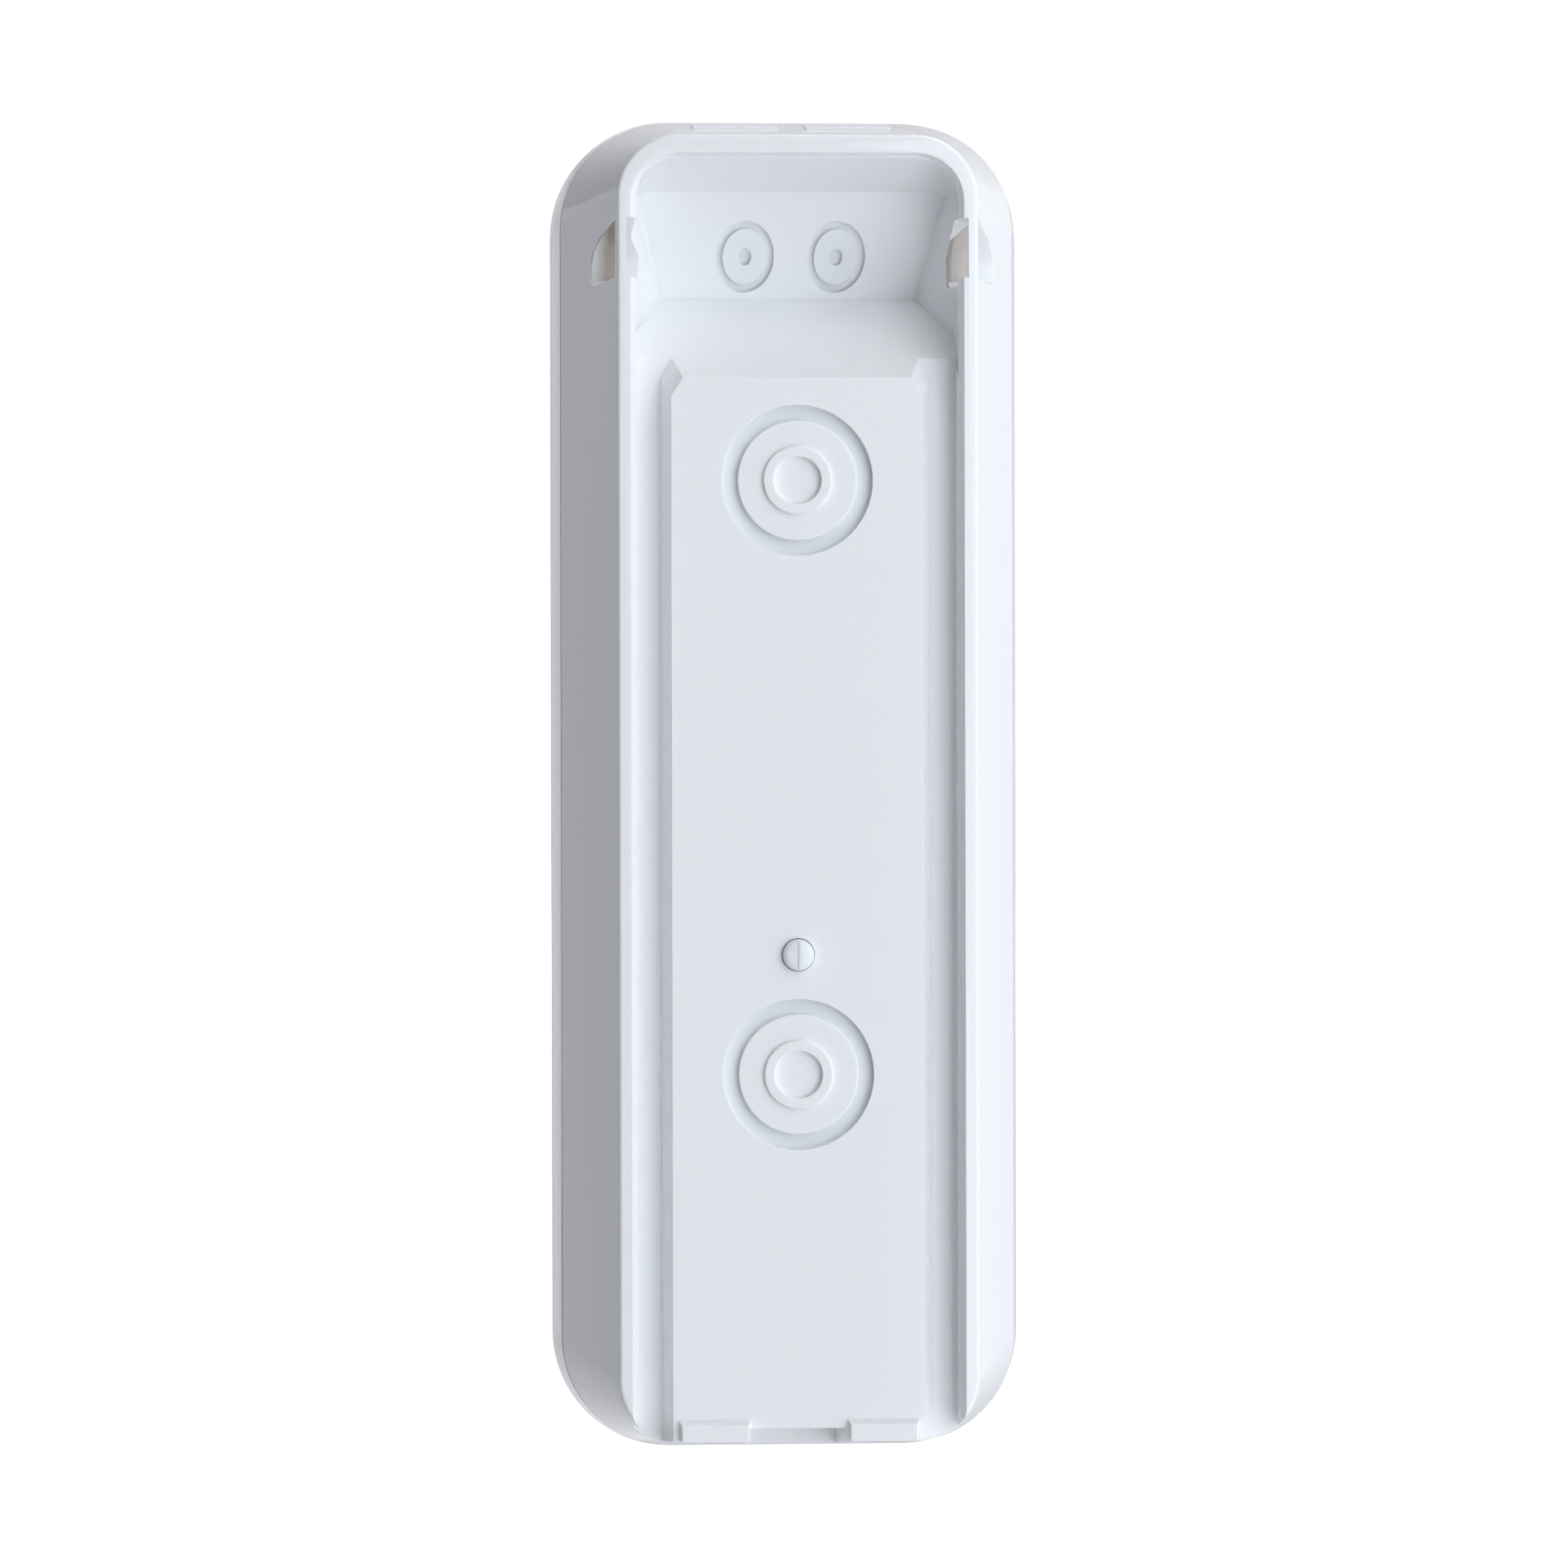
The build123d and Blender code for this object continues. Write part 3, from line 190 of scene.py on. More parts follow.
@contextmanager
def editing(piece):
    """Edit mode on one object, with its whole mesh selected."""
    lone(piece)
    bpy.ops.object.mode_set(mode="EDIT")
    bpy.ops.mesh.select_all(action="SELECT")
    yield
    bpy.ops.object.mode_set(mode="OBJECT")


def pick(piece, kind, test):
    """Selects only the edges or faces of the active piece that pass the test, in edit mode."""
    bpy.ops.object.mode_set(mode="EDIT")
    bpy.ops.mesh.select_mode(type=kind)
    bpy.ops.mesh.select_all(action="DESELECT")
    bpy.ops.object.mode_set(mode="OBJECT")
    mesh = piece.data
    if kind == "EDGE":
        for edge in mesh.edges:
            edge.select = test(*(mesh.vertices[i].co for i in edge.vertices))
    else:
        for face in mesh.polygons:
            face.select = test(face.center, face.normal)
    bpy.ops.object.mode_set(mode="EDIT")


def modify(piece, kind, **settings):
    """Adds a modifier and applies it."""
    lone(piece)
    made = piece.modifiers.new(kind.lower(), kind)
    for key, value in settings.items():
        setattr(made, key, value)
    bpy.ops.object.modifier_apply(modifier=made.name)
    return piece


def smoothed(piece, degrees):
    """Smooth shading that breaks at edges sharper than an angle."""
    lone(piece)
    bpy.ops.object.shade_smooth_by_angle(angle=math.radians(degrees))
    return piece


def round_off(piece, width, segments=2, sharp=SHARP, crisp=None):
    """Rounds a piece's sharp edges, apart from those in a crisp place, and smooths its shading."""
    lone(piece)
    bpy.ops.object.mode_set(mode="EDIT")
    bpy.ops.mesh.select_mode(type="EDGE")
    bpy.ops.mesh.select_all(action="DESELECT")
    bpy.ops.mesh.edges_select_sharp(sharpness=sharp)
    bpy.ops.object.mode_set(mode="OBJECT")
    if crisp:
        places = piece.data.vertices
        for edge in piece.data.edges:
            if edge.select and crisp(sum((places[i].co for i in edge.vertices), Vector()) / 2):
                edge.select = False
    bpy.ops.object.mode_set(mode="EDIT")
    bpy.ops.transform.edge_bevelweight(value=1.0)
    bpy.ops.object.mode_set(mode="OBJECT")
    modify(piece, "BEVEL", width=width, segments=segments, limit_method="WEIGHT",
           use_clamp_overlap=True, face_strength_mode="FSTR_ALL")
    smoothed(piece, SHADE_BREAK)
    return modify(piece, "WEIGHTED_NORMAL", mode="CORNER_ANGLE", keep_sharp=True,
                  use_face_influence=True)


def eased(piece, width, segments):
    """Bevels a plain block's edges."""
    return modify(piece, "BEVEL", width=width, segments=segments, limit_method="ANGLE")


def cloned(piece, name):
    """Copy of an object with its own mesh."""
    made = piece.copy()
    made.data = piece.data.copy()
    made.name = made.data.name = name
    bpy.context.scene.collection.objects.link(made)
    return made


def twin(node, name):
    """Copy of a CAD node with its doubled vertices merged."""
    piece = cloned(NODES[node], name)
    piece.parent = None
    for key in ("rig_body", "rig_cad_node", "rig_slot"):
        if key in piece:
            del piece[key]
    with editing(piece):
        bpy.ops.mesh.remove_doubles(threshold=NODE_WELD)
    return piece


def softened(node, name, width, segments=2, crisp=None):
    """Merged copy of a CAD node with rounded edges."""
    piece = twin(node, name)
    with editing(piece):
        bpy.ops.mesh.dissolve_limited(angle_limit=FLAT)
    return round_off(piece, width, segments, crisp=crisp)


def placed(name):
    """Names a new primitive and moves its place into its mesh."""
    piece = bpy.context.object
    piece.name = piece.data.name = name
    bpy.ops.object.transform_apply(location=True, rotation=True, scale=True)
    return piece


def strand(name, points):
    """Chain of edges through points, left in edit mode with all of it selected."""
    bpy.ops.object.select_all(action="DESELECT")
    bpy.ops.mesh.primitive_plane_add(size=MM, location=points[0])
    piece = placed(name)
    bpy.ops.object.mode_set(mode="EDIT")
    bpy.ops.mesh.select_mode(type="VERT")
    bpy.ops.mesh.select_all(action="SELECT")
    bpy.ops.mesh.merge(type="CENTER")
    for before, after in zip(points, points[1:]):
        bpy.ops.mesh.extrude_region_move(TRANSFORM_OT_translate={"value": after - before})
    bpy.ops.mesh.select_all(action="SELECT")
    return piece


def turned(name, at, along, profile, steps=64):
    """Spins a profile of (radius, depth along an axis), in millimetres, round that axis."""
    at, along = Vector(at), Vector(along)
    piece = strand(name, [at + Vector((radius * MM, 0, 0)) + along * depth * MM
                          for radius, depth in profile])
    bpy.ops.mesh.spin(steps=steps, angle=2 * math.pi, center=at, axis=along)
    bpy.ops.mesh.select_all(action="SELECT")
    bpy.ops.mesh.remove_doubles(threshold=TURNED_WELD)
    bpy.ops.mesh.normals_make_consistent(inside=False)
    bpy.ops.object.mode_set(mode="OBJECT")
    return piece


def block(name, low, high):
    """Cube set between two corners, its place in its mesh."""
    low, high = Vector(low), Vector(high)
    bpy.ops.object.select_all(action="DESELECT")
    bpy.ops.mesh.primitive_cube_add(size=1.0, location=(low + high) / 2, scale=high - low)
    return placed(name)


def copied(piece, name, move):
    """Copy of a piece with its own mesh, moved in its mesh."""
    made = cloned(piece, name)
    with editing(made):
        bpy.ops.transform.translate(value=move)
    return made


def joined(pieces, name):
    """Pieces made one object."""
    bpy.ops.object.select_all(action="DESELECT")
    for piece in pieces:
        piece.select_set(True)
    bpy.context.view_layer.objects.active = pieces[0]
    bpy.ops.object.join()
    pieces[0].name = pieces[0].data.name = name
    return pieces[0]


def cut(piece, cutter):
    """Takes one piece out of another, and removes it."""
    modify(piece, "BOOLEAN", operation="DIFFERENCE", object=cutter, solver="EXACT")
    bpy.data.objects.remove(cutter)
    return piece


def in_rows(piece, count, step):
    """Repeats a piece along a step."""
    return modify(piece, "ARRAY", count=count, use_relative_offset=False,
                  use_constant_offset=True, constant_offset_displace=step)


def seat(piece, look, slot, *nodes):
    """Gives a piece its finish, its slot and its body, and hides the CAD nodes that it stands for.
    """
    piece.data.materials.clear()
    piece.data.materials.append(finish(look))
    for face in piece.data.polygons:
        face.material_index = 0
    body = NODES[nodes[0]]["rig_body"] if nodes else "housing"
    if nodes:
        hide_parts(*nodes)
    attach(piece, body)
    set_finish(piece, slot)
    return piece


def stand_in(node, name, width, look, slot, segments=2, crisp=None):
    """Seats a copy of a CAD node with rounded edges in that node's place."""
    return seat(softened(node, name, width, segments, crisp), look, slot, node)


def dress(node, look, slot):
    """Gives a CAD node that stays its finish."""
    NODES[node].data.materials.clear()
    NODES[node].data.materials.append(finish(look))
    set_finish(NODES[node], slot)


def middle(node):
    """Centre of a CAD node's box."""
    low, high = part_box(node)
    return (low + high) / 2


def top_of(node, facing):
    """Point on a node's axis at its outermost rear or front face."""
    low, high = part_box(node)
    at = (low + high) / 2
    at.y = high.y if facing == REAR else low.y
    return at


def corners(node, inset):
    """The places in the XZ plane at a node's corners, set in by a margin."""
    low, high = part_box(node)
    wide = {round(x, 5) for x in (low.x + inset, high.x - inset)}
    return [(x, z) for x in sorted(wide) for z in (low.z + inset, high.z - inset)]


def spread(node, axis, gap=0.5):
    """Boxes of a node's separate solids, told apart by the gaps between them along one axis."""
    index = "xyz".index(axis)
    points = sorted((v.co.copy() for v in NODES[node].data.vertices), key=lambda p: p[index])
    parts = [[points[0]]]
    for point in points[1:]:
        if point[index] - parts[-1][-1][index] > gap * MM:
            parts.append([])
        parts[-1].append(point)
    return [(Vector(map(min, zip(*part))), Vector(map(max, zip(*part)))) for part in parts]


# ---- Node networks ---------------------------------------------------------------------------
NUMBER = "NodeSocketFloat"
TINT = "NodeSocketColor"
VECTOR = "NodeSocketVector"


def colour(rgb):
    return (*rgb, 1.0)


def spaced(values):
    """Socket names with spaces, from argument names with underscores."""
    return {key.replace("_", " "): value for key, value in values.items()}


class Network:
    """Node tree of a material or a group, built by short calls."""

    def __init__(self, tree):
        self.tree = tree
        tree.nodes.clear()

    def fill(self, sockets, values):
        """Sets sockets to plain values, or links them to other nodes' outputs."""
        for key, value in values.items():
            if hasattr(value, "is_output"):
                self.tree.links.new(value, sockets[key])
            else:
                sockets[key].default_value = value

    def node(self, kind, values=None, **settings):
        made = self.tree.nodes.new(kind)
        for key, value in settings.items():
            setattr(made, key, value)
        self.fill(made.inputs, values or {})
        return made

    def where(self):
        return self.node("ShaderNodeTexCoord").outputs["Object"]

    def axes(self, where):
        return self.node("ShaderNodeSeparateXYZ", {0: where}).outputs

    def math(self, operation, a, b=0.0, c=0.0, clamp=False):
        return self.node("ShaderNodeMath", {0: a, 1: b, 2: c}, operation=operation,
                         use_clamp=clamp).outputs[0]

    def times(self, a, b, clamp=False):
        return self.math("MULTIPLY", a, b, clamp=clamp)

    def over(self, value, limit):
        return self.math("GREATER_THAN", value, limit)

    def vector(self, operation, *values):
        return self.node("ShaderNodeVectorMath", dict(enumerate(values)),
                         operation=operation).outputs

    def ramp(self, value, low, high, to_low=0.0, to_high=1.0):
        return self.node("ShaderNodeMapRange", {
            "Value": value, "From Min": low, "From Max": high, "To Min": to_low,
            "To Max": to_high}).outputs[0]

    def noise(self, where, scale, detail=2.0, distortion=0.0):
        return self.node("ShaderNodeTexNoise", {
            "Vector": where, "Scale": scale, "Detail": detail,
            "Distortion": distortion}).outputs["Fac"]

    def mix(self, share, first, second):
        """Mix of two colours."""
        return self.node("ShaderNodeMix", {0: share, 6: first, 7: second},
                         data_type="RGBA").outputs[2]

    def blend(self, share, first, second):
        """Mix of two numbers."""
        return self.node("ShaderNodeMix", {0: share, 2: first, 3: second}).outputs[0]


def grouped(name, inputs, outputs):
    """New shader node group with named sockets, and its input and output nodes."""
    tree = bpy.data.node_groups.new(name, "ShaderNodeTree")
    for socket, kind, default in inputs:
        made = tree.interface.new_socket(name=socket, in_out="INPUT", socket_type=kind)
        made.default_value = default
    for socket, kind in outputs:
        tree.interface.new_socket(name=socket, in_out="OUTPUT", socket_type=kind)
    net = Network(tree)
    return net, net.node("NodeGroupInput").outputs, net.node("NodeGroupOutput").inputs


def moulded_skin():
    """Flow marks, faint mottling and a fine skin of a moulded plastic."""
    net, given, out = grouped(
        "moulded_skin",
        [("Colour", TINT, colour((0.8, 0.8, 0.8))), ("Flow Shade", TINT, colour((0.7, 0.7, 0.7))),
         ("Flow Size", NUMBER, 40.0), ("Skin Size", NUMBER, 2400.0), ("Roughness", NUMBER, 0.25)],
        [("Colour", TINT), ("Roughness", NUMBER), ("Height", NUMBER)])
    where = net.where()
    stretched = net.node("ShaderNodeMapping", {"Vector": where, "Scale": (1.0, 1.0, 0.35)})
    flow = net.noise(stretched.outputs[0], given["Flow Size"], 3.0, 0.6)
    net.fill(out, {
        "Colour": net.mix(net.ramp(flow, 0.35, 0.68), given["Colour"], given["Flow Shade"]),
        "Roughness": net.math("ADD", given["Roughness"],
                              net.math("MULTIPLY_ADD", flow, 0.08, -0.04)),
        "Height": net.noise(where, given["Skin Size"])})


def moat_shade_ring():
    """Mask of a round or oval ring about an axis along Y, feathered at both edges, for painted
    shade in a moat.
    """
    net, given, out = grouped(
        "moat_shade_ring", [("Centre", VECTOR, (0, 0, 0)), ("Squeeze", VECTOR, (1, 0, 1)),
                        ("Inner", NUMBER, 0.006), ("Outer", NUMBER, 0.0076)], [("Mask", NUMBER)])
    feather = 0.12 * MM
    away = net.vector("SUBTRACT", net.where(), given["Centre"])[0]
    reach = net.vector("LENGTH", net.vector("MULTIPLY", away, given["Squeeze"])[0])["Value"]
    near = net.times(net.math("SUBTRACT", reach, given["Inner"]), 1 / feather, clamp=True)
    far = net.times(net.math("SUBTRACT", given["Outer"], reach), 1 / feather, clamp=True)
    net.fill(out, {"Mask": net.times(near, far)})


def brushed_metal():
    """Fine drawn or rolled lines along one axis, with duller patches."""
    net, given, out = grouped(
        "brushed_metal",
        [("Colour", TINT, colour((0.8, 0.8, 0.8))), ("Dull", TINT, colour((0.5, 0.5, 0.5))),
         ("Stretch", VECTOR, (1.0, 1.0, 1.0)), ("Grain Size", NUMBER, 3000.0),
         ("Roughness", NUMBER, 0.3)],
        [("Colour", TINT), ("Roughness", NUMBER), ("Height", NUMBER)])
    where = net.where()
    grain = net.noise(net.vector("MULTIPLY", where, given["Stretch"])[0], given["Grain Size"], 3.0)
    patch = net.noise(where, 420.0, 4.0, 0.4)
    net.fill(out, {
        "Colour": net.mix(net.ramp(patch, 0.38, 0.72), given["Colour"], given["Dull"]),
        "Roughness": net.math("ADD", given["Roughness"],
                              net.math("MULTIPLY_ADD", grain, 0.24, -0.12)),
        "Height": grain})


GROUPS = {"moulded_skin": moulded_skin, "moat_shade_ring": moat_shade_ring, "brushed_metal": brushed_metal}


class Finish(Network):
    """Material with a Principled BSDF."""

    def __init__(self, name, **plain):
        self.material = bpy.data.materials.new(name)
        self.material.use_nodes = True
        super().__init__(self.material.node_tree)
        self.skin = self.node("ShaderNodeBsdfPrincipled")
        self.surface = self.node("ShaderNodeOutputMaterial").inputs["Surface"]
        self.tree.links.new(self.skin.outputs[0], self.surface)
        self.feed(**plain)

    def group(self, name, **values):
        """Places a node group, which is built at its first use."""
        if name not in bpy.data.node_groups:
            GROUPS[name]()
        made = self.node("ShaderNodeGroup", node_tree=bpy.data.node_groups[name])
        self.fill(made.inputs, spaced(values))
        return made.outputs

    def feed(self, **values):
        """Sets or links sockets of the Principled BSDF."""
        self.fill(self.skin.inputs, spaced(values))

    def bump(self, height, depth, strength=0.5):
        """Feeds the normal from a height, its depth in millimetres."""
        self.feed(Normal=self.node("ShaderNodeBump", {
            "Strength": strength, "Distance": depth * MM, "Height": height}).outputs[0])


def moulded(name, tint, shade, roughness, skin=2400.0, depth=0.004, **plain):
    """Moulded plastic or rubber."""
    made = Finish(name, Subsurface_Radius=(1.0, 0.95, 0.9), **plain)
    tone = made.group("moulded_skin", Colour=colour(tint), Flow_Shade=colour(shade),
                      Skin_Size=skin, Roughness=roughness)
    made.feed(Base_Color=tone["Colour"], Roughness=tone["Roughness"])
    made.bump(tone["Height"], depth)
    return made.material


def metal(name, tint, dull, roughness, stretch=(1.0, 1.0, 1.0), grain=3000.0):
    """Plated, drawn or pressed metal."""
    made = Finish(name, Metallic=1.0)
    tone = made.group("brushed_metal", Colour=colour(tint), Dull=colour(dull), Stretch=stretch,
                      Grain_Size=grain, Roughness=roughness)
    made.feed(Base_Color=tone["Colour"], Roughness=tone["Roughness"])
    made.bump(tone["Height"], 0.003)
    return made.material


# Ringed places of the rear face with painted shade in their moats: node, squeeze along Z, inner and
# outer radius in mm, strength of the painted shade
MOATS = (("cap_upper", 1.0, 6.1, 7.6, 0.9), ("cap_lower", 1.0, 6.1, 7.6, 0.9),
         ("contact_left", 0.885, 2.33, 3.0, 0.1), ("contact_right", 0.885, 2.33, 3.0, 0.1))
MOAT_SHADE_GREY = colour((0.80, 0.83, 0.86))
BEHIND_Y = -17.0 * MM  # the moats lie behind this plane
GAP_FRONT = (-19.06 * MM, -18.98 * MM)  # the parting gap's two feathered edges along Y
GAP_REAR = (-18.44 * MM, -18.54 * MM)
GAP_SHADE_FROM = (-38.0 * MM, -46.0 * MM)  # painted shade in the gap grows between these heights
# Colour of the painted shade in the parting gap
GAP_SHADE_GREY = colour((0.13, 0.125, 0.125))


def white_shell():
    """Gloss white moulding of the shells, caps and button, with painted shade greying the moats
    round the caps and darkening the parting gap.
    """
    sizes = bpy.context.scene.doorbell_plastics
    made = Finish("housing_gloss_white", IOR=1.5, Subsurface_Weight=0.5,
                  Subsurface_Scale=0.3 * MM, Subsurface_Radius=(1.0, 0.95, 0.9))
    tone = made.group("moulded_skin", Colour=colour(sizes.housing_white),
                      Flow_Shade=colour(sizes.flow_shade), Skin_Size=2400.0,
                      Roughness=sizes.gloss)
    base = tone["Colour"]
    axes = made.axes(made.where())
    rear = made.over(axes["Y"], BEHIND_Y)
    # Painted shade greys each moat, strongly round the caps and faintly round the contact blocks
    for node, squeeze, inner, outer, share in MOATS:
        ring = made.group("moat_shade_ring", Centre=middle(node), Squeeze=(1.0, 0.0, squeeze),
                          Inner=inner * MM, Outer=outer * MM)["Mask"]
        base = made.mix(made.times(made.times(ring, rear), share), base, MOAT_SHADE_GREY)
    # Painted shade in the parting gap, heavier along its lower left
    gap = made.times(made.ramp(axes["Y"], *GAP_FRONT), made.ramp(axes["Y"], *GAP_REAR))
    heavy = made.times(made.ramp(axes["Z"], *GAP_SHADE_FROM), made.over(axes["X"], 0.0))
    unevenness = made.math("MULTIPLY_ADD", made.noise(made.where(), 110.0, 3.0), 0.5, 0.2)
    gap_shade = made.times(gap, made.math("MULTIPLY_ADD", heavy, 0.5, unevenness), clamp=True)
    made.feed(Base_Color=made.mix(gap_shade, base, GAP_SHADE_GREY), Roughness=tone["Roughness"])
    made.bump(tone["Height"], 0.004)
    return made.material


# The strips' own ivory, then brown for painted shade and near white for painted light
IVORY = colour((0.66, 0.60, 0.56))
SHADE_BROWN = colour((0.20, 0.145, 0.115))
LIT_WHITE = colour((0.95, 0.955, 0.96))


def latch_strip():
    """Polymer strips with painted light and shade: near white with painted light by the outer wall,
    browned by painted shade towards the channel and the top.
    """
    made = Finish("latch_strip_painted_shade", Subsurface_Weight=0.2, Subsurface_Scale=0.4 * MM,
                  Subsurface_Radius=(1.0, 0.8, 0.6))
    where = made.where()
    axes = made.axes(where)
    is_left = made.over(axes["X"], 0.0)
    is_right = made.math("LESS_THAN", axes["X"], 0.0)
    # How much painted shade browns the left strip, towards the channel and by the window's top
    inward = made.ramp(axes["X"], 20.6 * MM, 18.8 * MM, 0.0, 0.5)
    by_top = made.times(made.ramp(axes["Z"], 53.4 * MM, 55.8 * MM),
                        made.ramp(axes["Z"], 58.2 * MM, 56.4 * MM, 0.3, 1.0))
    upward = made.times(made.ramp(axes["X"], 19.5 * MM, 18.9 * MM, 0.0, 0.75), by_top)
    left = made.times(is_left, made.math("MAXIMUM", inward, upward))
    # How much painted shade browns the right one, which shows through the channel; it gets less
    # painted shade than the left one
    right = made.times(is_right, made.ramp(axes["X"], -16.46 * MM, -16.32 * MM, 0.03, 0.42))
    # Random patches in the painted shade
    patchiness = made.math("MULTIPLY_ADD", made.noise(where, 900.0, 3.0), 0.3, -0.15)
    share = made.math("ADD", made.math("ADD", left, right), patchiness, clamp=True)
    # Both get painted light, near white, towards the outer wall, and the right one above a slanting
    # edge
    slant = made.math("MULTIPLY_ADD", axes["X"], -0.76, 43.48 * MM)
    outer = made.math("MAXIMUM", made.ramp(axes["X"], -18.2 * MM, -18.5 * MM),
                      made.ramp(axes["X"], 19.2 * MM, 20.5 * MM, 0.0, 0.65))
    lit_share = made.math("MAXIMUM", outer, made.times(is_right, made.over(axes["Z"], slant)))
    made.feed(Base_Color=made.mix(lit_share, made.mix(share, IVORY, SHADE_BROWN), LIT_WHITE),
              Roughness=made.ramp(share, 0.0, 1.0, 0.3, 0.5))
    made.bump(made.noise(where, 3600.0), 0.008)
    return made.material


COPPER = colour((0.55, 0.42, 0.16))


def solder_mask():
    """Green board with copper traces and vias under the mask."""
    made = Finish("board_solder_mask", Coat_Weight=0.35)
    green = bpy.context.scene.doorbell_electronics.board_green
    where = made.where()
    axes = made.axes(where)
    cells = made.node("ShaderNodeTexVoronoi", {"Vector": where, "Scale": 210.0},
                      distance="MANHATTAN")
    # Each cell runs its traces along X or Z, or stays empty, as its own random colour says
    lane = made.axes(cells.outputs["Color"])
    upright = made.over(lane["X"], 0.5)
    across = made.math("ADD", made.times(axes["X"], upright),
                       made.times(axes["Z"], made.math("SUBTRACT", 1.0, upright)))
    wave = made.math("PINGPONG", made.times(across, 1100.0), 0.5)
    trace = made.times(made.ramp(wave, 0.26, 0.30), made.over(lane["Y"], 0.42))
    dots = made.node("ShaderNodeTexVoronoi", {
        "Vector": where, "Scale": 520.0, "Randomness": 0.55}).outputs["Distance"]
    via = made.times(made.ramp(dots, 0.16, 0.12), made.over(lane["Z"], 0.6))
    lighter = colour(tuple(min(1.0, 1.9 * part + 0.01) for part in green))
    darker = colour(tuple(0.8 * part for part in green))
    plain = made.mix(made.noise(where, 90.0, 3.0), darker, colour(green))
    made.feed(Base_Color=made.mix(via, made.mix(trace, plain, lighter), COPPER),
              Roughness=made.ramp(via, 0.0, 1.0, 0.34, 0.22))
    made.bump(made.math("MAXIMUM", trace, via), 0.02)
    return made.material


def woven(name, thread, gap, pitch, roughness, depth):
    """Plain weave seen from the front, its pitch in threads per metre."""
    made = Finish(name)
    axes = made.axes(made.where())
    warp, weft = (made.math("SINE", made.times(axes[axis], pitch * 2 * math.pi)) for axis in "XZ")
    height = made.math("MAXIMUM", made.math("ABSOLUTE", warp), made.math("ABSOLUTE", weft))
    made.feed(Base_Color=made.mix(made.ramp(height, 0.45, 0.85), colour(gap), colour(thread)),
              Roughness=made.ramp(height, 0.4, 1.0, roughness + 0.2, roughness))
    made.bump(height, depth)
    return made.material


def film(name, tint, crease, roughness, scale=160.0):
    """Thin printed or laminated film with soft creases."""
    made = Finish(name, Coat_Weight=0.3)
    folds = made.noise(made.where(), scale, 4.0, 1.2)
    made.feed(Base_Color=made.mix(made.ramp(folds, 0.4, 0.7), colour(tint), colour(crease)),
              Roughness=made.ramp(folds, 0.3, 0.7, roughness, roughness + 0.12))
    made.bump(folds, 0.06)
    return made.material


def clear(name, tint, roughness, ior=1.5):
    """Clear moulding or glass with a faint uneven skin."""
    made = Finish(name, Transmission_Weight=1.0, IOR=ior)
    haze = made.noise(made.where(), 700.0, 3.0)
    made.feed(Base_Color=made.mix(haze, colour(tint), colour(tuple(0.96 * part for part in tint))),
              Roughness=made.ramp(haze, 0.3, 0.7, roughness, roughness + 0.03))
    made.bump(haze, 0.002)
    return made.material


def lens_stack():
    """Dark coated lens glass, backed by the black inside of the barrel."""
    made = Finish("lens_coated_glass", IOR=1.6, Coat_Weight=1.0, Coat_Roughness=0.02)
    rings = made.noise(made.where(), 300.0)
    edge = made.node("ShaderNodeLayerWeight", {"Blend": 0.35}).outputs["Facing"]
    made.feed(Base_Color=made.mix(edge, colour((0.006, 0.004, 0.016)), colour((0.05, 0.02, 0.09))),
              Roughness=made.ramp(rings, 0.3, 0.7, 0.03, 0.06))
    made.bump(rings, 0.001)
    return made.material


